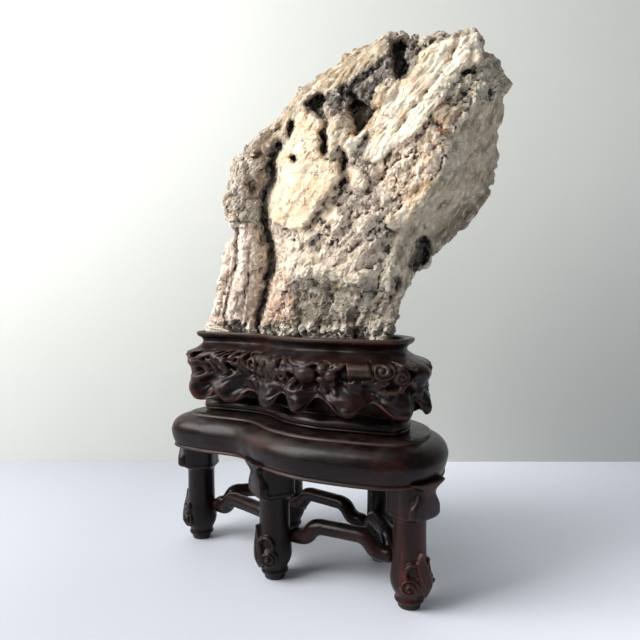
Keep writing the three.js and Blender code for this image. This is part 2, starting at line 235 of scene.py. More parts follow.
class Noise:
    """Seeded gradient and cell noise of points, evaluated as whole arrays."""

    def __init__(self, seed: int) -> None:
        """Draws the permutation table, the corner gradients and the cells' centres.

        Args:
            seed: seed of the draws.
        """
        draw = np.random.default_rng(seed)
        order = draw.permutation(256)
        self.table = np.concatenate([order, order])
        gradients = draw.normal(size=(256, 3))
        self.gradients = gradients / np.linalg.norm(gradients, axis=1, keepdims=True)
        self.jitter = draw.random((256, 3))

    def hashed(self, cell: Array) -> Array:
        """Table entry of an integer cell."""
        x, y, z = (cell[:, axis] & 255 for axis in range(3))
        return self.table[self.table[self.table[x] + y] + z]

    def plain(self, points: Array) -> Array:
        """Perlin's gradient noise: corner gradients dotted with offsets, blended by the quintic curve.

        Args:
            points: (n, 3) places, one cell to a unit.
        Returns:
            Values from about -1 to 1.
        """
        cell = np.floor(points).astype(np.int64)
        local = points - cell
        fade = local**3 * (local * (local * 6 - 15) + 10)
        total = np.zeros(len(points))
        for corner in np.ndindex(2, 2, 2):
            step = np.array(corner)
            weight = np.prod(np.where(step == 1, fade, 1 - fade), axis=1)
            gradient = self.gradients[self.hashed(cell + step)]
            total += weight * np.einsum("ij,ij->i", gradient, local - step)
        return total * 1.6

    def fractal(self, points: Array, octaves: int, gain: float = 0.5) -> Array:
        """Sum of octaves of plain noise, each twice as fine and `gain` as strong as the last."""
        total, strength = np.zeros(len(points)), 1.0
        for octave in range(octaves):
            total += strength * self.plain(points * 2.0**octave + 17.3 * octave)
            strength *= gain
        return total

    def ridged(self, points: Array, octaves: int, gain: float = 0.5) -> Array:
        """Sum of octaves of 1 - 2|noise|, which has sharp crests.

        Args:
            points: (n, 3) places.
            octaves: number of octaves.
            gain: strength of each octave against the one before.
        Returns:
            Values from about -1 to 1.5.
        """
        total, strength = np.zeros(len(points)), 1.0
        for octave in range(octaves):
            total += strength * (1 - 2 * np.abs(self.plain(points * 2.0**octave + 9.1 * octave)))
            strength *= gain
        return total

    def chips(self, points: Array) -> tuple[Array, Array]:
        """Cell noise: each cell is a flat chip tilted its own way.

        Args:
            points: (n, 3) places, one cell to a unit.
        Returns:
            Height of the tilted chip, and distance to its edge.
        """
        base = np.floor(points).astype(np.int64)
        nearest = np.full(len(points), 9.0)
        second = np.full(len(points), 9.0)
        owner = np.zeros(len(points), np.int64)
        offset = np.zeros_like(points)
        for corner in np.ndindex(3, 3, 3):
            cell = base + np.array(corner) - 1
            key = self.hashed(cell)
            away = points - (cell + self.jitter[key])
            distance = np.einsum("ij,ij->i", away, away)
            closer = distance < nearest
            second = np.where(closer, nearest, np.minimum(second, distance))
            nearest = np.where(closer, distance, nearest)
            owner = np.where(closer, key, owner)
            offset = np.where(closer[:, None], away, offset)
        tilt = np.einsum("ij,ij->i", offset, self.gradients[owner])
        return tilt, np.sqrt(second) - np.sqrt(nearest)


# ------------------------------------------------------------------ skins: points and faces


@dataclass
class Skin:
    """A closed surface in workshop millimetres: points, quads and the triangles at its poles."""

    points: Array
    quads: Array
    triangles: Array = field(default_factory=lambda: np.zeros((0, 3), np.int64))

    @classmethod
    def loft(cls, rings: Array, joined: bool = False) -> "Skin":
        """Skin over rings of equal length, which run anticlockwise seen from the last ring's side.

        Args:
            rings: (rows, columns, 3) points.
            joined: joins the last ring to the first, in place of closing both with a fan.
        Returns:
            The closed skin.
        """
        rows, columns, _ = rings.shape
        index = np.arange(rows * columns).reshape(rows, columns)
        if joined:
            index = np.vstack([index, index[:1]])
        beside = np.roll(index, -1, axis=1)
        quads = np.stack([index[:-1], beside[:-1], beside[1:], index[1:]], axis=-1).reshape(-1, 4)
        points = rings.reshape(-1, 3)
        if joined:
            return cls(points, quads)
        hubs = np.stack([rings[0].mean(0), rings[-1].mean(0)])
        low, high = rows * columns, rows * columns + 1
        under = np.stack([np.full(columns, low), beside[0], index[0]], axis=1)
        over = np.stack([np.full(columns, high), index[-1], beside[-1]], axis=1)
        return cls(np.vstack([points, hubs]), quads, np.vstack([under, over]))

    @classmethod
    def joined(cls, skins: list["Skin"]) -> "Skin":
        """Several skins as one list of points and faces.

        Args:
            skins: the skins, which may overlap.
        Returns:
            One skin that holds them all.
        """
        start = np.cumsum([0] + [len(skin.points) for skin in skins[:-1]])
        return cls(
            np.vstack([skin.points for skin in skins]),
            np.vstack([skin.quads + first for skin, first in zip(skins, start)]),
            np.vstack([skin.triangles + first for skin, first in zip(skins, start)]),
        )

    def edges(self) -> Array:
        """Every side of every face as a pair of points."""
        return np.vstack([
            self.quads[:, [0, 1]], self.quads[:, [1, 2]], self.quads[:, [2, 3]], self.quads[:, [3, 0]],
            self.triangles[:, [0, 1]], self.triangles[:, [1, 2]], self.triangles[:, [2, 0]],
        ])

    def normals(self) -> Array:
        """Unit normals, each the area-weighted mean of the faces round its point.

        Returns:
            (n, 3) normals.
        """
        total = np.zeros_like(self.points)
        for faces, (a, b, c, d) in ((self.quads, (2, 0, 3, 1)), (self.triangles, (1, 0, 2, 0))):
            corner = self.points[faces]
            face = np.cross(corner[:, a] - corner[:, b], corner[:, c] - corner[:, d])
            for side in range(faces.shape[1]):
                for axis in range(3):
                    total[:, axis] += np.bincount(faces[:, side], face[:, axis], len(total))
        return total / np.maximum(np.linalg.norm(total, axis=1, keepdims=True), 1e-12)

    def smoothed(self, values: Array, passes: int) -> Array:
        """Values averaged over the neighbours, again and again.

        Args:
            values: (n,) or (n, k) values at the points.
            passes: number of times each value becomes half itself and half its neighbours' mean.
        Returns:
            The smoothed values.
        """
        edges = self.edges()
        ends = np.concatenate([edges[:, 0], edges[:, 1]])
        others = np.concatenate([edges[:, 1], edges[:, 0]])
        count = np.maximum(np.bincount(ends, minlength=len(self.points)), 1)
        columns = values.reshape(len(values), -1).copy()
        for _ in range(passes):
            for k in range(columns.shape[1]):
                total = np.bincount(ends, columns[others, k], len(self.points))
                columns[:, k] = 0.5 * columns[:, k] + 0.5 * total / count
        return columns.reshape(values.shape)

    def hollowness(self, passes: int) -> Array:
        """Depth in millimetres below the surface smoothed `passes` times: above 0 in hollows."""
        return np.einsum("ij,ij->i", self.smoothed(self.points, passes) - self.points, self.normals())

    def mesh(self, name: str, smooth: bool = True) -> bpy.types.Mesh:
        """The skin as a Blender mesh.

        Args:
            name: name of the mesh.
            smooth: whether its faces are shaded smoothly.
        Returns:
            The mesh, which uses the points' own unit.
        """
        mesh = bpy.data.meshes.new(name)
        loops = np.concatenate([self.quads.ravel(), self.triangles.ravel()]).astype(np.int32)
        first = len(self.quads) * 4
        starts = np.concatenate([
            np.arange(len(self.quads)) * 4, first + np.arange(len(self.triangles)) * 3]).astype(np.int32)
        mesh.vertices.add(len(self.points))
        mesh.vertices.foreach_set("co", self.points.astype(np.float32).ravel())
        mesh.loops.add(len(loops))
        mesh.loops.foreach_set("vertex_index", loops)
        mesh.polygons.add(len(starts))
        mesh.polygons.foreach_set("loop_start", starts)
        mesh.polygons.foreach_set("use_smooth", np.full(len(starts), smooth))
        mesh.update(calc_edges=True)
        mesh.validate()
        return mesh

    def fused(self, cell: float) -> "Skin":
        """Overlapping closed skins melted into one even skin of quads.

        Args:
            cell: length of a quad's side in millimetres.
        Returns:
            The outer skin of everything, remeshed on a lattice of that cell.
        """
        source = bpy.data.objects.new("fusing", self.mesh("fusing"))
        bpy.context.scene.collection.objects.link(source)
        modifier = source.modifiers.new("fuse", "REMESH")
        modifier.mode = "VOXEL"
        modifier.voxel_size = cell
        graph = bpy.context.evaluated_depsgraph_get()
        made = bpy.data.meshes.new_from_object(source.evaluated_get(graph))
        points = np.zeros(len(made.vertices) * 3, np.float32)
        made.vertices.foreach_get("co", points)
        corners = np.zeros(len(made.loops), np.int32)
        made.loops.foreach_get("vertex_index", corners)
        old = source.data
        bpy.data.objects.remove(source)
        bpy.data.meshes.remove(old)
        bpy.data.meshes.remove(made)
        return Skin(points.reshape(-1, 3).astype(float), corners.reshape(-1, 4).astype(np.int64))


@dataclass
class Maker:
    """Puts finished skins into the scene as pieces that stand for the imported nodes."""

    workshop: Workshop

    def piece(self, name: str, skin: Skin, material: bpy.types.Material, node: str,
              values: dict[str, Array] | None = None, smooth: bool = True) -> bpy.types.Object:
        """Makes a piece, gives it its finish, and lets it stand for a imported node.

        Args:
            name: piece name.
            skin: its surface in workshop millimetres.
            material: its finish.
            node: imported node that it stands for.
            values: values at the points, as attributes: (n,) numbers or (n, 3) colours.
            smooth: whether the faces are shaded smoothly.
        Returns:
            The object.
        """
        placed = Skin(self.workshop.place(skin.points), skin.quads, skin.triangles)
        mesh = placed.mesh(name, smooth=smooth)
        for key, value in (values or {}).items():
            if value.ndim == 1:
                layer = mesh.attributes.new(key, "FLOAT", "POINT")
                layer.data.foreach_set("value", value.astype(np.float32))
            else:
                layer = mesh.attributes.new(key, "FLOAT_COLOR", "POINT")
                colour = np.hstack([value, np.ones((len(value), 1))])
                layer.data.foreach_set("color", colour.astype(np.float32).ravel())
        mesh.materials.append(material)
        thing = bpy.data.objects.new(name, mesh)
        bpy.context.scene.collection.objects.link(thing)
        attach(thing, BODY)
        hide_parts(node)
        LOG.info("%s: %d points, %d faces", name, len(mesh.vertices), len(mesh.polygons))
        return thing


# ------------------------------------------------------------------ finishes


def linear(red: int, green: int, blue: int) -> Colour:
    """A colour given as 0 to 255 screen values, as the linear light values that shaders take."""
    values = [channel / 255 for channel in (red, green, blue)]
    return (*[v / 12.92 if v <= 0.04045 else ((v + 0.055) / 1.055) ** 2.4 for v in values], 1.0)


def rgb(colour: Colour) -> Array:
    """A colour's three light values."""
    return np.array(colour[:3])


class Nodes:
    """A node tree being written: `add` makes a node, sets its sockets and wires what is linked."""

    def __init__(self, tree: bpy.types.NodeTree) -> None:
        """Keeps the tree that nodes go into."""
        self.tree = tree

    def add(self, kind: str, sockets: Sockets | None = None, **settings: object) -> bpy.types.Node:
        """Makes a node.

        Args:
            kind: the node type's name without its ShaderNode prefix.
            sockets: value or output socket for each input, by name or number.
            settings: properties of the node itself.
        Returns:
            The node.
        """
        node = self.tree.nodes.new(kind if kind.startswith("NodeGroup") else f"ShaderNode{kind}")
        for key, value in settings.items():
            setattr(node, key, value)
        for key, value in (sockets or {}).items():
            if isinstance(value, bpy.types.NodeSocket):
                self.tree.links.new(value, node.inputs[key])
            else:
                node.inputs[key].default_value = value
        return node

    def shared(self, group: bpy.types.NodeTree, sockets: Sockets) -> bpy.types.NodeSocket:
        """Output of a shared group placed here with its own values."""
        return self.add("Group", sockets, node_tree=group).outputs[0]

    def attribute(self, name: str) -> bpy.types.Node:
        """Reader of an attribute stored at the points."""
        return self.add("Attribute", attribute_name=name)

    def math(self, operation: str, *inputs: object) -> bpy.types.NodeSocket:
        """Output of a Math node, clamped to no range."""
        return self.add("Math", dict(enumerate(inputs)), operation=operation).outputs[0]

    def blend(self, share: object, first: object, second: object, how: str = "MIX") -> bpy.types.NodeSocket:
        """Output of a colour Mix node.

        Args:
            share: factor, a number or a socket.
            first: colour A.
            second: colour B.
            how: blend type.
        Returns:
            The mixed colour.
        """
        sockets = {0: share, 6: first, 7: second}
        return self.add("Mix", sockets, data_type="RGBA", blend_type=how).outputs[2]

    def weighted(self, *parts: tuple[object, float]) -> bpy.types.NodeSocket:
        """Sum of values, each times its own weight."""
        products = [self.math("MULTIPLY", value, weight) for value, weight in parts]
        total = products[0]
        for product in products[1:]:
            total = self.math("ADD", total, product)
        return total

    def noise(self, place: object, scale: object, detail: float, roughness: float = 0.5,
              distortion: float = 0.0) -> bpy.types.NodeSocket:
        """Value of a Noise Texture.

        Args:
            place: coordinates.
            scale: cells to a unit, a number or a socket.
            detail: number of octaves.
            roughness: strength of each octave against the one before.
            distortion: how far the pattern is warped.
        Returns:
            The value, from 0 to 1.
        """
        return self.add("TexNoise", {
            "Vector": place, "Scale": scale, "Detail": detail, "Roughness": roughness,
            "Distortion": distortion}).outputs[0]

    def grey(self, level: object) -> bpy.types.NodeSocket:
        """A grey of the given brightness."""
        return self.add("CombineColor", {0: level, 1: level, 2: level}).outputs[0]

    def ramp(self, value: object, low: object, high: object,
             to_low: float = 0.0, to_high: float = 1.0) -> bpy.types.NodeSocket:
        """Map Range from [low, high] to [to_low, to_high], eased and clamped."""
        return self.add(
            "MapRange", {0: value, 1: low, 2: high, 3: to_low, 4: to_high},
            interpolation_type="SMOOTHSTEP").outputs[0]


def effect(name: str, output: str, numbers: dict[str, float]
           ) -> tuple[bpy.types.NodeTree, Nodes, bpy.types.Node]:
    """Starts a shader node group that works out one number from coordinates and other numbers.

    Args:
        name: name of the group.
        output: name of the number that it gives.
        numbers: starting value of each numeric input.
    Returns:
        The group, a writer for it and its input node.
    """
    group = bpy.data.node_groups.new(name, "ShaderNodeTree")
    group.interface.new_socket("Vector", in_out="INPUT", socket_type="NodeSocketVector")
    for key, value in numbers.items():
        socket = group.interface.new_socket(key, in_out="INPUT", socket_type="NodeSocketFloat")
        socket.default_value = value
    group.interface.new_socket(output, in_out="OUTPUT", socket_type="NodeSocketFloat")
    writer = Nodes(group)
    return group, writer, writer.add("NodeGroupInput")


class Effects:
    """Node groups that more than one finish uses, built once."""

    def __init__(self) -> None:
        """Builds the groups."""
        self.mottle = self.make_mottle()
        self.wear_and_highlight = self.make_wear_and_highlight()
        self.dust = self.make_dust()

    @staticmethod
    def make_mottle() -> bpy.types.NodeTree:
        """Uneven value: two sizes of noise on stretched coordinates, eased between two levels.

        Returns:
            The group.
        """
        group, write, start = effect("uneven_value", "Value", {"Scale": 100.0, "Low": 0.3, "High": 0.7})
        place, scale = start.outputs["Vector"], start.outputs["Scale"]
        broad = write.noise(place, scale, 6.0, 0.6)
        fine = write.noise(place, write.math("MULTIPLY", scale, 4.3), 3.0, 0.6)
        both = write.weighted((broad, 0.65), (fine, 0.35))
        write.add("NodeGroupOutput", {0: write.ramp(both, start.outputs["Low"], start.outputs["High"])})
        return group

    @staticmethod
    def make_wear_and_highlight() -> bpy.types.NodeTree:
        """Crests painted paler, partly wear and partly painted highlight: the height of a crest over its
        surroundings, broken up by noise.

        Returns:
            The group.
        """
        group, write, start = effect("worn_and_highlit_crests", "Mask", {"Crest": 0.0, "Start": 0.1, "Full": 0.5})
        noise = write.noise(start.outputs["Vector"], 260.0, 4.0)
        uneven = write.math("SUBTRACT", noise, 0.5)
        broken = write.math("MULTIPLY_ADD", uneven, 0.35, start.outputs["Crest"])
        write.add("NodeGroupOutput", {0: write.ramp(broken, start.outputs["Start"], start.outputs["Full"])})
        return group

    @staticmethod
    def make_dust() -> bpy.types.NodeTree:
        """Dust: a mask that grows in hollows and on faces that look up, broken up by noise.

        Returns:
            The group.
        """
        group, write, start = effect("settled_dust", "Mask", {"Hollow": 0.0, "Amount": 0.5})
        noise = write.noise(start.outputs["Vector"], 90.0, 5.0)
        facing = write.add("SeparateXYZ", {0: write.add("NewGeometry").outputs["Normal"]})
        up = write.ramp(facing.outputs[2], 0.3, 1.0)
        deep = write.ramp(start.outputs["Hollow"], 0.1, 1.2)
        both = write.weighted((up, 0.7), (deep, 0.5))
        patchy = write.math("MULTIPLY", both, write.ramp(noise, 0.35, 0.7))
        write.add("NodeGroupOutput", {0: write.math("MULTIPLY", patchy, start.outputs["Amount"])})
        return group


def started(name: str) -> tuple[bpy.types.Material, Nodes]:
    """A new empty node material and a writer for it."""
    material = bpy.data.materials.new(name)
    material.use_nodes = True
    material.node_tree.nodes.clear()
    return material, Nodes(material.node_tree)


def finished(write: Nodes, surface: Sockets) -> None:
    """Adds the Principled BSDF with its sockets and the output.

    Args:
        write: the material's writer.
        surface: value or output socket for each of the shader's inputs.
    """
    shader = write.add("BsdfPrincipled", surface)
    write.add("OutputMaterial", {"Surface": shader.outputs[0]})


@dataclass(frozen=True)
class Rosewood:
    """Polished dark rosewood: streaks along the grain, soft polish, crests painted paler as wear and painted
    highlight, dust and painted shade in hollows.
    """

    name: str
    dark: Colour
    streak: Colour
    # colour of paler crests: partly wear, partly painted highlight
    worn: Colour
    grain: tuple[float, float, float]          # stretch of the grain along each axis
    streaks: float = 0.55                      # how far the streak colour comes through
    roughness: float = 0.3
    pore: Colour = (0.002, 0.0015, 0.001, 1.0)
    # painted shade: the near black that deep hollows are darkened to
    depth: Colour = (0.0015, 0.001, 0.001, 1.0)            # what deep hollows go to
    dust: Colour = (0.30, 0.28, 0.26, 1.0)

    def material(self, effects: Effects) -> bpy.types.Material:
        """The finish as a material.

        Args:
            effects: shared node groups.
        Returns:
            The material.
        """
        material, write = started(self.name)
        place = write.add("TexCoord").outputs["Object"]
        along = write.add("Mapping", {"Vector": place, "Scale": self.grain}).outputs[0]
        bands = write.noise(along, 90.0, 5.0, 0.62, 0.6)
        pores = write.noise(along, 720.0, 2.0)
        mottle = write.shared(effects.mottle, {"Vector": place, "Scale": 38.0})
        share = write.math("MULTIPLY", write.ramp(bands, 0.42, 0.68), self.streaks)
        share = write.math("MULTIPLY", share, write.math("MULTIPLY_ADD", mottle, 0.7, 0.3))
        colour = write.blend(share, self.dark, self.streak)
        colour = write.blend(write.ramp(pores, 0.6, 0.75, 0.0, 0.5), colour, self.pore)
        crest = write.attribute("crest").outputs["Fac"]
        hollow = write.attribute("hollow").outputs["Fac"]
        wear_and_highlight = write.shared(effects.wear_and_highlight, {"Vector": place, "Crest": crest, "Start": 0.10, "Full": 0.42})
        # crests painted paler: partly wear, partly painted highlight along edges and beads
        colour = write.blend(write.math("MULTIPLY", wear_and_highlight, 0.22), colour, self.worn)
        colour = write.blend(write.ramp(crest, 0.8, 1.3, 0.0, 0.6), colour, self.worn)
        # painted shade: deep hollows darkened toward near black
        colour = write.blend(write.ramp(hollow, 0.15, 1.2, 0.0, 0.75), colour, self.depth)
        dust = write.shared(effects.dust, {"Vector": place, "Hollow": hollow, "Amount": 0.06})
        colour = write.blend(dust, colour, self.dust)
        rough = write.math("MULTIPLY_ADD", mottle, 0.14, self.roughness - 0.05)
        rough = write.math("ADD", rough, write.ramp(hollow, 0.2, 1.0, 0.0, 0.25))
        height = write.weighted((bands, 0.5), (pores, 0.35), (mottle, 0.6))
        bump = write.add("Bump", {"Height": height, "Strength": 0.35, "Distance": 0.0004})
        finished(write, {
            "Base Color": colour, "Roughness": rough, "Normal": bump.outputs[0],
            "Coat Weight": 0.03, "Coat Roughness": 0.25,
            "Specular IOR Level": write.ramp(hollow, 0.05, 0.8, 0.20, 0.05)})
        return material


@dataclass(frozen=True)
class PadRubber:
    """Near-black foot pad: matt, slightly grained and dusty at its edge."""

    name: str = "black_foot_pad"
    colour: Colour = linear(17, 15, 15)
    worn: Colour = linear(34, 31, 30)
    dust: Colour = linear(120, 116, 112)

    def material(self, effects: Effects) -> bpy.types.Material:
        """The finish as a material.

        Args:
            effects: shared node groups.
        Returns:
            The material.
        """
        material, write = started(self.name)
        place = write.add("TexCoord").outputs["Object"]
        mottle = write.shared(effects.mottle, {"Vector": place, "Scale": 400.0})
        colour = write.blend(mottle, self.colour, self.worn)
        dust = write.shared(effects.dust, {"Vector": place, "Hollow": 0.0, "Amount": 0.2})
        colour = write.blend(dust, colour, self.dust)
        bump = write.add("Bump", {"Height": mottle, "Strength": 0.3, "Distance": 0.0003})
        finished(write, {"Base Color": colour, "Roughness": 0.62, "Normal": bump.outputs[0]})
        return material


@dataclass(frozen=True)
class WeatheredRock:
    """Quartz and crumbly host rock: the tint at each point is broken up into grains, pits and stains, with
    painted shade in hollows and a painted glint on crests.
    """

    name: str = "quartz_veined_rock"
    # dark of specks and veinlets, and the painted shade of hollows
    dark_speck_and_shade: Colour = linear(40, 34, 29)
    stain: Colour = linear(164, 126, 88)
    painted_glint: Colour = linear(255, 251, 243)

    def material(self, effects: Effects) -> bpy.types.Material:
        """The finish as a material.

        Args:
            effects: shared node groups.
        Returns:
            The material.
        """
        material, write = started(self.name)
        place = write.add("TexCoord").outputs["Object"]
        tint = write.attribute("tint").outputs["Color"]
        quartz = write.attribute("quartz").outputs["Fac"]
        rough_rock = write.attribute("rough").outputs["Fac"]
        hollow = write.attribute("hollow").outputs["Fac"]
        crest = write.attribute("crest").outputs["Fac"]
        turned = write.add("Mapping", {"Vector": place, "Rotation": (0, 0, -STONE_TURN)}).outputs[0]
        bedded = write.add("Mapping", {
            "Vector": turned, "Rotation": (0, BEDDING, 0), "Scale": (0.28, 0.7, 1.0)}).outputs[0]

        patches = write.shared(effects.mottle, {"Vector": bedded, "Scale": 210.0, "Low": 0.33, "High": 0.66})
        grains = write.noise(place, 560.0, 5.0, 0.66)
        light = write.ramp(grains, 0.34, 0.66, 0.58, 1.22)
        calm = write.ramp(grains, 0.3, 0.7, 0.93, 1.05)
        light = write.math("ADD", write.math("MULTIPLY", light, rough_rock),
                           write.math("MULTIPLY", calm, write.math("SUBTRACT", 1.0, rough_rock)))
        light = write.math("MULTIPLY", light, write.math("MULTIPLY_ADD", patches, 0.24, 0.91))
        colour = write.blend(1.0, tint, write.grey(light), "MULTIPLY")

        stains = write.noise(bedded, 110.0, 7.0, 0.62, 0.6)
        colour = write.blend(write.ramp(stains, 0.56, 0.76, 0.0, 0.38), colour, self.stain)
        cells = write.add("TexVoronoi", {"Vector": place, "Scale": 400.0, "Randomness": 1.0}).outputs[0]
        specks = write.math("MULTIPLY", write.ramp(cells, 0.26, 0.1), write.ramp(grains, 0.5, 0.62))
        specks = write.math("MULTIPLY", specks, write.math("MULTIPLY_ADD", rough_rock, 0.85, 0.04))
        colour = write.blend(specks, colour, self.dark_speck_and_shade)
        veinlets = write.noise(bedded, 150.0, 3.0, 0.5, 0.4)
        crack = write.ramp(write.math("ABSOLUTE", write.math("SUBTRACT", veinlets, 0.5)), 0.012, 0.0)
        crack = write.math("MULTIPLY", crack, write.ramp(stains, 0.42, 0.6))
        colour = write.blend(write.math("MULTIPLY", crack, 0.5), colour, self.dark_speck_and_shade)
        # painted shade: hollows and cracks darkened toward near black
        colour = write.blend(write.ramp(hollow, 0.12, 1.5, 0.0, 0.88), colour, self.dark_speck_and_shade)
        # painted glint: crests lightened toward near white
        colour = write.blend(write.ramp(crest, 0.25, 1.1, 0.0, 0.3), colour, self.painted_glint)

        height = write.weighted((grains, 0.8), (write.noise(place, 1500.0, 3.0, 0.7), 0.3))
        height = write.math("MULTIPLY", height, write.math("MULTIPLY_ADD", rough_rock, 0.85, 0.2))
        height = write.math("SUBTRACT", height, write.math("MULTIPLY", specks, 0.6))
        height = write.math("SUBTRACT", height, write.math("MULTIPLY", crack, 0.5))
        bump = write.add("Bump", {"Height": height, "Strength": 0.85, "Distance": 0.0012})
        rough = write.math("MULTIPLY_ADD", quartz, -0.38, 0.9)
        rough = write.math("ADD", rough, write.ramp(grains, 0.35, 0.65, 0.0, 0.1))
        finished(write, {
            "Base Color": colour, "Roughness": rough, "Normal": bump.outputs[0],
            "Specular IOR Level": 0.4})
        return material


# ------------------------------------------------------------------ the kidney-shaped plan


@dataclass
class KidneyPlan:
    """Outline of table, plinth, cradle and socket: one closed curve drawn in by an inset."""

    outline: Outline = (
        (-9, -22), (26, -25), (62, -21), (95, -35), (130, -39), (166, -32), (197, -22), (212, -3),
        (213, 24), (200, 53), (172, 74), (130, 84), (84, 92), (44, 93), (11, 81), (-10, 52),
        (-17.5, 14))
    centre: tuple[float, float] = (97.0, 32.0)
    half: tuple[float, float] = (112.0, 62.0)   # half axes of the ellipse that spreads the spokes
    span_steps: int = 40

    def curve(self, inset: float, shift: tuple[float, float]) -> Array:
        """The outline's points moved inwards along their normals and by a shift, on a closed curve.

        Args:
            inset: distance drawn in.
            shift: move in plan.
        Returns:
            (n, 2) samples, anticlockwise.
        """
        control = np.array(self.outline, float)
        tangent = np.roll(control, -1, axis=0) - np.roll(control, 1, axis=0)
        tangent /= np.linalg.norm(tangent, axis=1, keepdims=True)
        inward = np.stack([-tangent[:, 1], tangent[:, 0]], axis=1)
        return catmull_rom(control + inset * inward + np.array(shift), self.span_steps, closed=True)

    def heading(self, turn: Array) -> Array:
        """Direction of the spoke at an ellipse parameter."""
        return np.arctan2(self.half[1] * np.sin(turn), self.half[0] * np.cos(turn))

    def reach(self, heading: Array, inset: float, shift: tuple[float, float] = (0, 0)) -> Array:
        """Distance from the plan centre to the outline along headings.

        Args:
            heading: directions in radians.
            inset: distance that the outline is drawn in.
            shift: move of the outline in plan.
        Returns:
            Distances in millimetres.
        """
        away = self.curve(inset, shift) - np.array(self.centre)
        angle = np.arctan2(away[:, 1], away[:, 0])
        order = np.argsort(angle)
        return np.interp(heading, angle[order], np.hypot(*away.T)[order], period=2 * np.pi)

    def rings(self, turn: Array, profile: Array, swell: Array | float = 0.0,
              lift: Array | float = 0.0) -> Array:
        """Rings of the outline, one to a row of the profile.

        Args:
            turn: (columns,) ellipse parameters.
            profile: (rows, 4) inset, height and shift in plan of each ring.
            swell: (rows, columns) added to the reach.
            lift: (rows, columns) added to the height.
        Returns:
            (rows, columns, 3) points.
        """
        heading = self.heading(turn)
        reach = np.stack([self.reach(heading, row[0], (row[2], row[3])) for row in profile]) + swell
        height = np.broadcast_to(profile[:, 1:2], reach.shape) + lift
        return xyz(
            self.centre[0] + reach * np.cos(heading), self.centre[1] + reach * np.sin(heading), height)


def crest_and_hollow(skin: Skin, passes: int) -> dict[str, Array]:
    """Attributes that tell crests, painted paler as wear and painted highlight, from hollows, which gather
    dust and painted shade.

    Args:
        skin: the surface.
        passes: smoothing passes of the skin that it is measured from.
    Returns:
        Millimetres below and above the smoothed skin.
    """
    depth = skin.smoothed(skin.hollowness(passes), 1)
    return {"hollow": np.maximum(depth, 0.0), "crest": np.maximum(-depth, 0.0)}


# ------------------------------------------------------------------ the table


@dataclass
class TableTop:
    """Thick kidney board: bullnose edge over a small bead, a groove and a thin raised plate."""

    plan: KidneyPlan
    workshop: Workshop
    columns: int = 560
    sag: float = 1.7             # the lower edge hangs lower between the legs
    leg_reach: float = 24.0      # how far round a leg it doesn't sag
    hollow: float = 10.0         # depth of the recess underneath
    plate_shift: float = 4.0     # the raised plate sits this far back
    unevenness: float = 0.45     # waves left by the plane

    def profile(self) -> Array:
        """The edge's section, from the recess underneath round to the plate.

        Returns:
            (rows, 2) insets and heights.
        """
        low, high = self.workshop.table_bottom, self.workshop.table_top
        path = [
            (36.5, low + self.hollow), (36, low + self.hollow - 0.5), (35, low + 3), (34.4, low + 0.7),
            (33.2, low), (25, low), (12, low), (5.6, low), (3.2, low + 0.2), (2.2, low + 0.9),
            (2.3, low + 1.8), (3.3, low + 2.4), (2.6, low + 3.4), (1.2, low + 6.4), (0.0, low + 11.5),
            (0.5, low + 15.5), (2.1, low + 19.2), (4.9, low + 22.2), (8.6, low + 24.2),
            (12.0, low + 25.0), (13.0, low + 24.7), (13.4, low + 24.9), (13.6, high - 0.9),
            (14.3, high - 0.1), (15.6, high), (24, high), (34, high)]
        return even_path(path, 150)

    def skin(self) -> Skin:
        """Profile carried round the kidney; the lower edge follows the sag between the legs.

        Returns:
            The board.
        """
        turn = full_turn(self.columns)
        profile = self.profile()
        plate = smoothstep(self.workshop.table_top - 1.2, self.workshop.table_top - 0.4, profile[:, 1])
        plate = np.where(profile[:, 0] > 12.5, plate, 0.0)
        rows = np.column_stack([profile, 0 * plate, self.plate_shift * plate])
        heading = self.plan.heading(turn)
        near_leg = np.zeros_like(turn)
        for place in Place:
            away = self.workshop.leg_axis(place) - np.array(self.plan.centre)
            gap = np.angle(np.exp(1j * (heading - math.atan2(away[1], away[0]))))
            near_leg = np.maximum(near_leg, hump(gap * np.hypot(*away), self.leg_reach))
        edge = smoothstep(self.workshop.table_bottom + 9, self.workshop.table_bottom, profile[:, 1])
        edge = edge * smoothstep(30, 12, profile[:, 0])
        lift = -edge[:, None] * self.sag * (1 - near_leg)[None, :]
        noise = Noise(5)
        rings = self.plan.rings(turn, rows, 0.0, lift)
        uneven = noise.fractal(rings.reshape(-1, 3) / 38.0, 2).reshape(rings.shape[:2])
        body = smoothstep(26, 10, profile[:, 0])[:, None]
        return Skin.loft(self.plan.rings(turn, rows, self.unevenness * uneven * body, lift))

    def build(self, maker: Maker, material: bpy.types.Material) -> None:
        """Makes the piece."""
        skin = self.skin()
        maker.piece("kidney_table_top", skin, material, "table_top",
                    crest_and_hollow(skin, 14))


@dataclass
class Plinth:
    """Moulded foot of the cradle: a half-round under a cove."""

    plan: KidneyPlan
    workshop: Workshop
    columns: int = 420
    shift: tuple[float, float] = (-2.0, 4.0)

    def build(self, maker: Maker, material: bpy.types.Material) -> None:
        """Carries the moulding round the kidney and makes the piece.

        Args:
            maker: puts pieces into the scene.
            material: its finish.
        """
        low, high = self.workshop.plinth_bottom, self.workshop.plinth_top
        path = [
            (34, low), (29.4, low), (27.6, low + 0.2), (26.6, low + 0.9), (26.5, low + 1.7),
            (27.1, low + 2.2), (26.3, low + 2.7), (25.9, low + 4.0), (26.1, low + 5.8),
            (27.0, low + 7.6), (28.6, low + 9.0), (30.2, low + 10.6), (31.2, high), (36, high)]
        profile = even_path(path, 64)
        rows = np.column_stack([profile, np.tile(self.shift, (len(profile), 1))])
        turn = full_turn(self.columns)
        skin = Skin.loft(self.plan.rings(turn, rows))
        maker.piece("moulded_plinth", skin, material, "cradle_plinth",
                    crest_and_hollow(skin, 10))


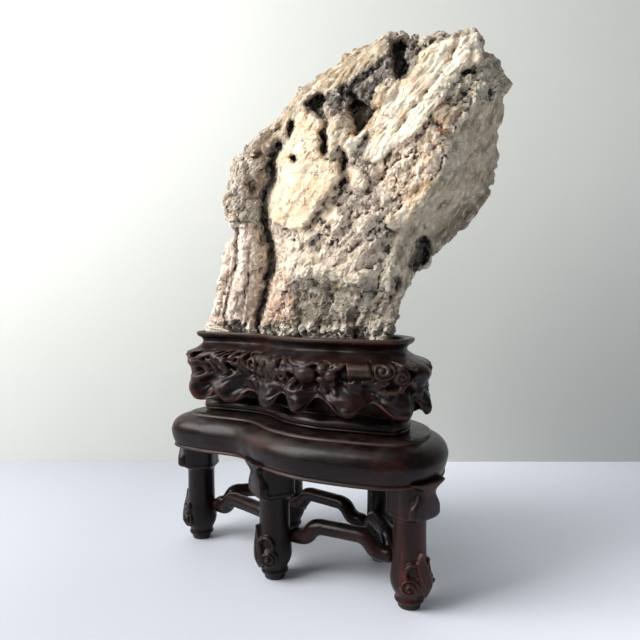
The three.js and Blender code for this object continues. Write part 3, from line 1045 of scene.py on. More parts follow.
# ------------------------------------------------------------------ the carved cradle


class Motif(Enum):
    """Carvings of the upper frieze."""

    SCROLL = "scroll"
    BUBBLE = "bubble"
    LEAF = "leaf"
    EYE = "eye"
    BOSS = "boss"
    ROLL = "roll"


@dataclass(frozen=True)
class Carving:
    """One carving: kind, ellipse parameter in degrees, height over the hem, size, relief and turn."""

    kind: Motif
    spot: float
    height: float
    radius: float
    relief: float
    turn: float = 0.0
    stretch: float = 1.0


@dataclass
class Cradle:
    """Leaf-and-scroll bowl: a ruffled lotus-leaf hem, a frieze of scrolls, a neck and a flared rim."""

    plan: KidneyPlan
    workshop: Workshop
    columns: int = 840
    rows: int = 118
    turns: tuple[float, ...] = (          # ellipse parameters of the hem's lows and highs, in degrees
        222, 225.5, 230, 239.5, 265.5, 275, 284.5, 293.5, 306.5, 315, 329, 341, 353, 368, 384, 400,
        416, 431, 447, 462, 478, 494, 510, 526, 541, 555, 569, 577)
    hem: float = 123.5
    hem_depth: float = 11.5
    hem_rise: float = 3.4                 # lift of the hem toward the front and right
    frieze_height: float = 34.0           # middle of the frieze over the hem
    foot_inset: float = 29.0
    bowl_shift: tuple[float, float] = (-1.0, 2.0)
    rim_shift: tuple[float, float] = (-4.0, 3.0)
    seed: int = 23
    front: tuple[Carving, ...] = (
        Carving(Motif.LEAF, 213, 36, 7.5, 4.6, 0.5, 1.2), Carving(Motif.BOSS, 213, 22, 7.5, 3.4),
        Carving(Motif.BUBBLE, 220, 30, 4.8, 4.8), Carving(Motif.LEAF, 223, 38, 6.4, 4.0, 0.3, 1.3),
        Carving(Motif.BUBBLE, 229, 33, 3.4, 4.6), Carving(Motif.BUBBLE, 231.5, 37, 3.2, 4.4),
        Carving(Motif.EYE, 234, 34, 4.2, 4.6), Carving(Motif.BUBBLE, 237, 38, 3.4, 4.4),
        Carving(Motif.BUBBLE, 227, 27, 3.2, 3.6), Carving(Motif.LEAF, 236, 28, 6.5, 3.6, -0.9, 1.3),
        Carving(Motif.EYE, 247, 32, 7.0, 5.4), Carving(Motif.BOSS, 257, 28, 6.6, 4.2),
        Carving(Motif.LEAF, 255, 38, 6.0, 3.8, -0.5, 1.3),
        Carving(Motif.LEAF, 264, 39, 6.5, 4.2, 1.2, 1.3),
        Carving(Motif.LEAF, 273, 40, 6.0, 4.4, 1.4, 1.4),
        Carving(Motif.SCROLL, 270, 33, 5.5, 3.4), Carving(Motif.EYE, 277, 29.5, 5.0, 4.6),
        Carving(Motif.SCROLL, 286.5, 42.5, 6.6, 4.6, 0.0, 2.1),
        Carving(Motif.BOSS, 288, 31, 8.6, 5.6, 0.0, 1.2),
        Carving(Motif.LEAF, 282, 24, 6.0, 2.6, 0.8, 1.3), Carving(Motif.BUBBLE, 296, 35.5, 4.4, 4.4),
        Carving(Motif.BUBBLE, 299.5, 31, 4.8, 5.2), Carving(Motif.LEAF, 303, 39, 7.0, 3.4, 0.5, 1.5),
        Carving(Motif.BOSS, 297, 23, 6.5, 2.6), Carving(Motif.ROLL, 311, 36, 6.6, 5.4, 0.0, 1.35),
        Carving(Motif.BOSS, 310, 24.5, 5.6, 3.4, 0.0, 1.4),
        Carving(Motif.SCROLL, 319.5, 36, 7.4, 4.8, 0.6, 1.15),
        Carving(Motif.LEAF, 318, 26, 7.0, 2.8, 0.4, 1.4), Carving(Motif.SCROLL, 326.5, 32, 6.0, 4.0, 2.1),
        Carving(Motif.LEAF, 332, 40, 7.2, 4.6, -0.4, 1.3), Carving(Motif.EYE, 336, 28, 4.6, 3.4),
        Carving(Motif.BOSS, 344, 32, 10.5, 6.0), Carving(Motif.LEAF, 352, 40, 7.0, 3.8, 0.6, 1.3),
    )

    def profile(self) -> Array:
        """The cradle's section, from under the bowl up to the socket's floor.

        Returns:
            (rows, 5) inset, height, shift in plan and how far each ring follows the hem.
        """
        low = self.workshop.plinth_top + 0.3
        rim, seat = self.workshop.rim_top, self.workshop.seat - 0.3
        hem, foot = self.hem, self.foot_inset
        bowl = [
            (33, low, 0.0), (31, low, 0.0), (26, low + 0.6, 0.35), (21.5, low + 0.9, 0.85),
            (18.0, hem + 1.4, 1.0), (16.4, hem + 0.3, 1.0), (15.4, hem, 1.0), (14.5, hem + 0.5, 1.0),
            (14.3, hem + 1.5, 1.0), (13.6, hem + 4, 0.82), (13.0, hem + 8, 0.5),
            (13.2, hem + 13, 0.2), (15.2, hem + 18.5, 0.05), (17.2, hem + 23, 0.0),
            (16.0, hem + 28, 0.0), (14.6, hem + 34, 0.0)]
        neck = [(16.6, hem + 39.5, -1.6, 2.2, 0.0), (23.0, hem + 43.5, -3, 2.7, 0.0)]
        lip = [
            (26.5, hem + 46.5), (26.2, rim - 6.4), (24.6, rim - 4.4), (23.3, rim - 3.4),
            (22.4, rim - 2.6), (21.9, rim - 1.4), (22.3, rim - 0.4), (23.3, rim)]
        socket = [
            (foot - 3, rim - 0.8), (foot - 2.2, rim - 1.6), (foot - 1.6, seat + 0.2), (foot + 2, seat),
            (foot + 8, seat)]
        path = [(inset, height, *self.bowl_shift, share) for inset, height, share in bowl] + neck
        path += [(inset, height, *self.rim_shift, 0.0) for inset, height in lip]
        path += [(24.7, rim - 0.3, -4.6, 3, 0.0)]
        path += [(inset, height, *SOCKET_SHIFT, 0.0) for inset, height in socket]
        return even_path(path, self.rows)

    def carvings(self) -> list[Carving]:
        """The front's own carvings, and seeded ones in two uneven rows round the rest.

        Returns:
            The carvings in the order in which they are laid over one another.
        """
        draw = np.random.default_rng(self.seed)
        kinds = (Motif.SCROLL, Motif.LEAF, Motif.BOSS, Motif.LEAF, Motif.EYE, Motif.ROLL)
        found = list(self.front)
        for count, height, radius in ((19, 38.0, 7.4), (22, 27.0, 6.4)):
            for k in range(count):
                spot = 358 + (k + draw.uniform(-0.25, 0.25)) * 212 / count
                kind = kinds[draw.integers(len(kinds))]
                found.append(Carving(kind, spot, height + draw.uniform(-2.5, 2.5),
                                     radius * draw.uniform(0.75, 1.15), draw.uniform(2.8, 4.8),
                                     draw.uniform(-1.2, 1.2), draw.uniform(1.0, 1.5)))
        return found

    @staticmethod
    def carved(carving: Carving, across: Array, up: Array) -> Array:
        """Height of one carving over the frieze.

        A scroll is a dome grooved by a spiral, a bubble a small half ball, a boss a broad soft dome,
        a leaf a long dome with a midrib, a roll a short half cylinder, and an eye a ring round a hollow.

        Args:
            carving: which carving.
            across: distance along the frieze from its middle.
            up: distance above its middle.
        Returns:
            Heights, 0 outside it and below 0 in a hollow.
        """
        level, rise = math.cos(carving.turn), math.sin(carving.turn)
        x = (across * level + up * rise) / (carving.radius * carving.stretch)
        y = (-across * rise + up * level) / carving.radius
        ratio = np.hypot(x, y)
        dome = np.sqrt(np.clip(1 - ratio**2, 0, 1))
        if carving.kind is Motif.SCROLL:
            groove = np.cos(2 * np.pi * 2.1 * ratio - np.arctan2(y, x))
            return carving.relief * dome**0.6 * (0.80 + 0.20 * groove)
        if carving.kind is Motif.BUBBLE:
            return carving.relief * dome
        if carving.kind is Motif.BOSS:
            return carving.relief * np.clip(1 - ratio**2, 0, 1) ** 1.1
        if carving.kind is Motif.EYE:
            ring = np.clip(1 - ((ratio - 0.68) / 0.32) ** 2, 0, 1) ** 0.7
            return carving.relief * (0.8 * ring - 1.25 * hump(ratio, 0.40)) * (ratio < 1.0)
        if carving.kind is Motif.ROLL:
            ends = smoothstep(1.0, 0.86, np.abs(x))
            return carving.relief * np.sqrt(np.clip(1 - y**2, 0, 1)) * ends
        long = np.hypot(x, y / 0.55)
        leaf = np.sqrt(np.clip(1 - long**2, 0, 1))
        rib = 0.26 * hump(y, 0.10) + 0.09 * np.cos(2 * np.pi * (x * 2.2 - 1.4 * np.abs(y)))
        return carving.relief * leaf * (1 - rib)

    def lobes(self, turn: Array, along: Array, length: float) -> Array:
        """Phase of the hem's waves: a low at each even multiple of pi, a high at each odd one.

        Args:
            turn: (columns,) ellipse parameters.
            along: (columns,) distance round the cradle.
            length: the whole way round.
        Returns:
            (columns,) phases.
        """
        turns = np.array([*self.turns, self.turns[0] + 360.0])
        hung = np.interp(np.radians(turns % 360), turn, along)
        hung = np.where(turns >= 360, hung + length, hung)
        run = np.where(along < hung[0], along + length, along)
        return np.pi * np.interp(run, hung, np.arange(len(turns)))

    def laid(self, turn: Array, along: Array, length: float, over: Array) -> Array:
        """All carvings laid over one another: the highest shows, and a hollow cuts into what is there.

        Args:
            turn: (columns,) ellipse parameters.
            along: (columns,) distance round the cradle.
            length: the whole way round.
            over: (rows, 1) heights over the hem.
        Returns:
            (rows, columns) heights over the frieze.
        """
        relief = np.zeros((len(over), len(along)))
        for carving in self.carvings():
            place = np.interp(math.radians(carving.spot % 360), turn, along)
            gap = (along - place + length / 2) % length - length / 2
            near = np.abs(gap) < 1.8 * carving.radius * carving.stretch
            across, up = np.broadcast_arrays(gap[None, near], over - carving.height)
            carved = self.carved(carving, across, up)
            part = relief[:, near]
            relief[:, near] = np.where(carved < 0, np.minimum(part, part * 0.3 + carved),
                                       np.maximum(part, carved))
        return relief

    def skin(self) -> Skin:
        """Rings swollen by leaf folds, stems and carvings, and lifted along the scalloped hem.

        Returns:
            The cradle.
        """
        turn = full_turn(self.columns)
        profile = self.profile()
        base = self.plan.rings(turn, profile[:, :4])
        middle = base[np.argmin(np.abs(profile[:, 1] - self.hem - self.frieze_height))]
        step = np.linalg.norm(np.roll(middle, -1, axis=0) - middle, axis=1)
        along = np.concatenate([[0], np.cumsum(step)[:-1]])
        length = step.sum()
        lobe = self.lobes(turn, along, length)
        lift = self.hem_depth * ((1 - np.cos(lobe)) / 2) ** 1.2 * (1 + 0.10 * np.sin(4 * turn + 1.0))
        lift = lift + self.hem_rise * smoothstep(math.radians(225), math.radians(290), turn)
        over = (profile[:, 1] - self.hem)[:, None]
        outer = (profile[:, 0] < 25.5) & (np.arange(len(profile)) > 10)
        outside = np.where(outer, 1.0, 0.0)[:, None] * np.ones_like(turn)[None, :]
        frieze = smoothstep(-1, 3, over) * smoothstep(43, 38.5, over) * outside

        noise = Noise(11)
        grid = outside.shape
        sheet = xyz(middle[:, 0], middle[:, 1], over).reshape(-1, 3)
        slant = noise.plain(sheet / 15.0).reshape(grid)
        skew = 0.035 * over + 0.8 * slant * smoothstep(2, 14, over)
        fold = np.cos(lobe[None, :] + skew)
        tongue = 3.4 * fold + 1.7 * noise.fractal(sheet / 13.0 + 5.0, 2).reshape(grid)
        crease = -0.8 * hump(1 + fold, 0.4)
        swell = (tongue + crease) * smoothstep(33, 8, over) * smoothstep(-1.5, 2, over)

        relief = self.laid(turn, along, length, over)
        stems = noise.ridged(sheet / np.array([15.0, 15.0, 13.0]), 2).reshape(grid)
        upper = smoothstep(13, 21, over)
        relief = np.maximum(relief, 2.4 * smoothstep(0.3, 1.2, stems) * upper)
        recess = smoothstep(21, 28, over) * smoothstep(44, 39, over)
        relief = relief - 3.4 * recess * np.clip(1 - relief / 1.8, 0, 1)
        swell = swell + relief * upper * frieze

        neck = hump(over - 46.5, 3.0) * np.where(profile[:, 0] > 20, 1.0, 0.0)[:, None]
        ripple = 0.9 * np.sin(7 * turn + 1.2) + 0.5 * np.sin(9 * turn)
        rim = smoothstep(48.5, 51.5, over) * smoothstep(26.5, 24.5, profile[:, :1]) * ripple[None, :] * 0.5
        swell = swell + neck * 0.7 * slant + rim
        drop = -0.5 * hump(over - 51.5, 1.6) * np.abs(ripple)[None, :] * (profile[:, :1] < 24.6)
        rings = self.plan.rings(turn, profile[:, :4], 0.0, profile[:, 4:5] * lift[None, :] + drop)
        tangent = np.roll(middle, -4, axis=0) - np.roll(middle, 4, axis=0)
        outward = np.stack([tangent[:, 1], -tangent[:, 0]], axis=1)
        outward /= np.linalg.norm(outward, axis=1, keepdims=True)
        rings[..., :2] += swell[..., None] * outward[None, :, :]
        return Skin.loft(rings)

    def build(self, maker: Maker, material: bpy.types.Material) -> None:
        """Makes the piece, with a painted highlight along its hem's lip, paler than the rest.

        Args:
            maker: puts pieces into the scene.
            material: its finish.
        """
        skin = self.skin()
        values = crest_and_hollow(skin, 12)
        profile = self.profile()
        # painted highlight: a thin pale line along the hem's lip, added to the crest value
        lip = 1.6 * hump(profile[:, 0] - 15.2, 0.55) * hump(profile[:, 1] - self.hem, 1.3)
        values["crest"][:lip.size * self.columns] += np.repeat(lip, self.columns)
        maker.piece("lotus_leaf_cradle", skin, material, "carved_cradle", values)


# ------------------------------------------------------------------ legs, pads and stretchers


@dataclass
class Leg:
    """Turned leg with a square collar, a bell-shaped tab, a flame leaf and two spiral scrolls."""

    workshop: Workshop
    shaft: float = 11.3
    swell: float = 12.9
    swell_height: float = 18.0
    collar_half: float = 13.2
    collar_bottom: float = 63.0
    tab_neck: float = 8.0
    tab_bell: float = 13.4
    scroll_turn: float = math.radians(48)
    columns: int = 180
    cell: float = 0.52

    def shaft_skin(self) -> Skin:
        """The leg as rings: a circle low down that squares up in the collar, with the carved foot.

        Each ring is the superellipse |x|^n + |y|^n = r^n, its exponent going from 2 to 5 at the
        collar's ledge; leaf and scrolls are added to the reach.

        Returns:
            The shaft, its axis at x = y = 0 and its carved side toward +X.
        """
        low = self.workshop.pad_height + 0.3
        ledge = self.collar_bottom
        path = [
            (0.5, low), (6, low), (8.4, low), (9.6, low + 0.5), (10.1, low + 1.9), (9.7, low + 3.2),
            (9.3, low + 4.0), (9.5, low + 4.9), (10.6, low + 7.0), (12.0, low + 10.0),
            (self.swell, self.swell_height), (12.5, self.swell_height + 7),
            (11.6, self.swell_height + 14), (self.shaft, self.swell_height + 21), (11.1, 50),
            (11.2, ledge - 4), (11.5, ledge - 2.0), (12.4, ledge - 0.8), (self.collar_half, ledge + 0.3),
            (self.collar_half + 0.2, ledge + 1.6), (self.collar_half - 0.2, ledge + 3.5),
            (self.collar_half - 0.3, ledge + 14), (self.collar_half, self.workshop.table_bottom + 3)]
        profile = even_path(path, 190)
        angle = np.linspace(-np.pi, np.pi, self.columns, endpoint=False)[None, :]
        radius, height = profile[:, :1], profile[:, 1:2]
        power = mix(2.0, 4.6, smoothstep(ledge - 3, ledge + 1.5, height))
        squared = (np.abs(np.cos(angle)) ** power + np.abs(np.sin(angle)) ** power) ** (-1 / power)
        reach = radius * squared + self.foot_relief(angle * self.swell, height + 0 * angle)
        return Skin.loft(xyz(reach * np.cos(angle), reach * np.sin(angle), height))

    def foot_relief(self, across: Array, height: Array) -> Array:
        """Carved flame leaf, side curls and spiral scrolls of the foot.

        The leaf's middle line sways as a sine with the height; its section is a half ellipse with a
        raised rim and a groove along the middle. A scroll is a dome grooved by a spiral round a boss.

        Args:
            across: distance round the foot from the side that faces out.
            height: height over the floor.
        Returns:
            Heights over the plain shaft.
        """
        rise = np.clip((height - 9.0) / 32.0, 0, 1)
        sway = 2.6 * np.sin(2 * np.pi * 0.8 * rise + 0.4)
        half = 0.2 + 6.2 * np.sin(np.pi * rise**0.75) ** 0.9
        share = np.abs(across - sway) / half
        inside = np.where((rise > 0.001) & (rise < 0.999), np.clip(1 - share**2, 0, 1), 0.0)
        leaf = 3.4 * np.sqrt(inside) + 0.9 * hump(share - 0.78, 0.14) * (rise > 0) * (rise < 1)
        leaf -= 1.3 * hump(across - sway, 0.9) * smoothstep(0.12, 0.3, rise) * smoothstep(0.96, 0.8, rise)
        relief = leaf
        for side in (-1, 1):
            x = across - side * self.scroll_turn * self.swell
            y = height - self.swell_height
            distance = np.hypot(x, y)
            spiral = np.cos(2 * np.pi * distance / 3.1 - side * np.arctan2(y, x))
            dome = np.sqrt(np.clip(1 - (distance / 6.6) ** 2, 0, 1))
            scroll = dome**0.5 * (2.5 + 1.15 * spiral) + 1.7 * hump(distance, 1.5)
            scroll = np.where(distance < 6.6, scroll, 0.0)
            curl_x = x + side * 2.8
            curl_y = y - 9.5
            curl = np.hypot(curl_x, curl_y)
            arm = 2.4 * np.sqrt(np.clip(1 - ((curl - 5.4) / 1.7) ** 2, 0, 1))
            arm = arm * smoothstep(-6.5, -3.0, curl_y + 0.3 * curl_x * side)
            relief = np.maximum(relief, np.maximum(scroll, arm))
        return relief

    def tab_skin(self) -> Skin:
        """Bell-shaped tab: level superellipse sections as wide as the bell, with a beaded edge.

        Returns:
            The tab, in the shaft's frame.
        """
        top, low = self.workshop.table_bottom + 2.5, self.collar_bottom - 1.2
        height = np.linspace(low, top, 70)[:, None]
        rise = (height - low) / (top - low)
        foot = np.sqrt(np.clip(1 - (1 - np.clip(rise / 0.17, 0, 1)) ** 2, 0.0004, 1))
        bell = mix(self.tab_bell, self.tab_neck, smoothstep(0.30, 0.74, rise))
        bell = bell + 8.0 * smoothstep(0.74, 1.0, rise) ** 1.6
        half = bell * (0.30 + 0.70 * foot)
        angle = full_turn(120)
        side = np.sign(np.sin(angle)) * np.abs(np.sin(angle)) ** 0.62
        out = np.sign(np.cos(angle)) * np.abs(np.cos(angle)) ** 0.62
        share = np.abs(side)
        bead = 0.55 * hump(share - 0.86, 0.09) + 0.55 * hump(rise - 0.05, 0.03) * (share < 0.86)
        front = 5.6 * foot + 3.2 * smoothstep(0.62, 0.98, rise)
        depth = np.where(out > 0, out * front + bead * (out > 0.3), out * 2.6)
        x = self.collar_half - 1.6 + depth
        return Skin.loft(xyz(x, half * side, height))

    def carve(self) -> Skin:
        """All shells of the leg melted into one and softened as a carver's edges are."""
        skin = Skin.joined([self.shaft_skin(), self.tab_skin()]).fused(self.cell)
        flat = skin.points[:, 2].min() + 0.6
        softened = skin.smoothed(skin.points, 2)
        keep = skin.points[:, 2:] < flat
        return Skin(np.where(keep, skin.points, softened), skin.quads)

    def build(self, maker: Maker, material: bpy.types.Material, red: bpy.types.Material) -> None:
        """Carves one leg and stands a turned copy of it at each place.

        Args:
            maker: puts pieces into the scene.
            material: dark finish.
            red: redder finish of the right leg.
        """
        carved = self.carve()
        values = crest_and_hollow(carved, 16)
        for place in Place:
            heading = math.radians(HEADINGS[place])
            cosine, sine = math.cos(heading), math.sin(heading)
            turned = carved.points @ np.array([[cosine, sine, 0], [-sine, cosine, 0], [0, 0, 1]])
            stood = turned + np.array([*self.workshop.leg_axis(place), 0.0])
            finish = red if place is Place.RIGHT else material
            maker.piece(f"carved_leg_{place.value}", Skin(stood, carved.quads), finish,
                        f"leg_{place.value}", values)


@dataclass
class FootPads:
    """Black pads under the legs, with a softened edge."""

    workshop: Workshop
    radius: float = 7.6

    def build(self, maker: Maker, material: bpy.types.Material) -> None:
        """Turns a pad's profile round its axis for each leg.

        Args:
            maker: puts pieces into the scene.
            material: its finish.
        """
        high = self.workshop.pad_height
        path = [
            (0.5, 0), (4, 0), (6.4, 0), (7.1, 0.15), (self.radius - 0.15, 0.7), (self.radius, 1.4),
            (self.radius, high - 0.9), (self.radius - 0.2, high - 0.3), (self.radius - 0.8, high),
            (4, high), (0.5, high)]
        profile = even_path(path, 40)
        angle = full_turn(72)
        for place in Place:
            x, y = self.workshop.leg_axis(place)
            rings = xyz(
                x + profile[:, :1] * np.cos(angle), y + profile[:, :1] * np.sin(angle),
                np.maximum(profile[:, 1:2], 0))
            maker.piece(f"black_pad_{place.value}", Skin.loft(rings), material,
                        f"foot_pad_{place.value}")


@dataclass
class Stretchers:
    """Five round rods between neighbouring legs, each with a raised middle and soft elbows."""

    workshop: Workshop
    shaft: float = Leg.shaft
    radius: float = 5.6
    low: float = 30.0
    high: float = 39.5

    def corner(self, place: Place) -> Array:
        """Where two rods meet, on the inner side of a leg."""
        heading = math.radians(HEADINGS[place])
        x, y = self.workshop.leg_axis(place)
        return np.array([x - self.shaft * math.cos(heading), y - self.shaft * math.sin(heading), self.low])

    def skin(self, start: Array, end: Array) -> Skin:
        """A circle carried along the rod's path; it swells at the elbows and closes round at the ends.

        Args:
            start: corner at the first leg.
            end: corner at the next leg.
        Returns:
            The rod.
        """
        shares = [0, 0.06, 0.13, 0.19, 0.25, 0.31, 0.38, 0.5, 0.62, 0.69, 0.75, 0.81, 0.87, 0.94, 1]
        rises = [0, 0.0, 0.02, 0.22, 0.80, 1.02, 1.04, 1.05, 1.04, 1.02, 0.80, 0.22, 0.02, 0.0, 0]
        control = start + (end - start) * np.array(shares)[:, None]
        control[:, 2] += np.array(rises) * (self.high - self.low)
        line = even_path(control, 120, measured=3)
        ahead = np.gradient(line, axis=0)
        ahead /= np.linalg.norm(ahead, axis=1, keepdims=True)
        side = np.cross(ahead, np.array([0.0, 0.0, 1.0]))
        side /= np.linalg.norm(side, axis=1, keepdims=True)
        up = np.cross(side, ahead)
        run = np.linspace(0, 1, len(line))
        bend = sum(hump(run - elbow, 0.05) for elbow in (0.27, 0.73, 0.17, 0.83))
        length = np.linalg.norm(end - start)
        from_end = np.minimum(run, 1 - run) * length
        round_end = np.sqrt(np.clip(1 - (1 - np.clip(from_end / self.radius, 0, 1)) ** 2, 0.0009, 1))
        reach = (self.radius + 0.45 * bend) * round_end
        angle = full_turn(56)
        rings = (line[:, None, :]
                 + reach[:, None, None] * (np.cos(angle)[None, :, None] * up[:, None, :]
                                           + np.sin(angle)[None, :, None] * side[:, None, :]))
        return Skin.loft(rings[:, ::-1])

    def build(self, maker: Maker, material: bpy.types.Material) -> None:
        """Makes the five rods.

        Args:
            maker: puts pieces into the scene.
            material: its finish.
        """
        places = list(Place)
        for place, following in zip(places, places[1:] + places[:1]):
            name = f"{place.value}_to_{following.value}"
            skin = self.skin(self.corner(place), self.corner(following))
            maker.piece(f"rod_{name}", skin, material, f"stretcher_{name}",
                        crest_and_hollow(skin, 8))


# ------------------------------------------------------------------ the stone


def polygon_depth(points: Array, outline: Outline) -> Array:
    """Distance inside a closed outline, negative outside it.

    Args:
        points: (n, 2) places.
        outline: its corners.
    Returns:
        Signed distance to the nearest side.
    """
    corners = np.array(outline, float)
    after = np.roll(corners, -1, axis=0)
    nearest = np.full(len(points), 1e9)
    inside = np.zeros(len(points), bool)
    for start, end in zip(corners, after):
        nearest = np.minimum(nearest, segment_distance(points, start, end)[0])
        crossing = (start[1] > points[:, 1]) != (end[1] > points[:, 1])
        rise = np.where(end[1] == start[1], 1e-9, end[1] - start[1])
        meets = points[:, 0] < (end[0] - start[0]) * (points[:, 1] - start[1]) / rise + start[0]
        inside ^= crossing & meets
    return np.where(inside, nearest, -nearest)


def segment_distance(points: Array, start: Array, end: Array) -> tuple[Array, Array]:
    """Distance to a straight piece of line, and the share of the way along it."""
    run = end - start
    share = np.clip((points - start) @ run / (run @ run), 0, 1)
    return np.linalg.norm(points - start - share[:, None] * run, axis=1), share


def line_distance(points: Array, line: Outline) -> Array:
    """Distance to a broken line."""
    corners = np.array(line, float)
    return np.min([segment_distance(points, a, b)[0] for a, b in zip(corners[:-1], corners[1:])], axis=0)


@dataclass(frozen=True)
class Slab:
    """A raised plate of quartz on the broad face."""

    outline: Outline
    rise: float                  # how far it stands out
    soft: float                  # width of its broken edge
    quartz: float = 1.0          # how clean the quartz is
    tilt: tuple[float, float] = (0.0, 0.0)
    pale: float = 0.3            # how white the quartz is


@dataclass(frozen=True)
class Hole:
    """A hole or recess weathered into the broad face inside an outline."""

    outline: Outline
    depth: float
    soft: float = 2.0
    # how dark its inside is painted: partly painted shade, partly dark minerals
    dark: float = 1.0            # how black it is inside


@dataclass(frozen=True)
class Cleft:
    """A long deep crack along a broken line."""

    line: Outline
    half: float
    depth: float


@dataclass(frozen=True)
class Ridge:
    """A rounded crest along a broken line."""

    line: Outline
    half: float
    rise: float


@dataclass(frozen=True)
class Zone:
    """A region of the broad face: its outline, colour and how rough its surface is."""

    outline: Outline
    soft: float
    colour: Colour
    rough: float = 0.8
    strength: float = 1.0


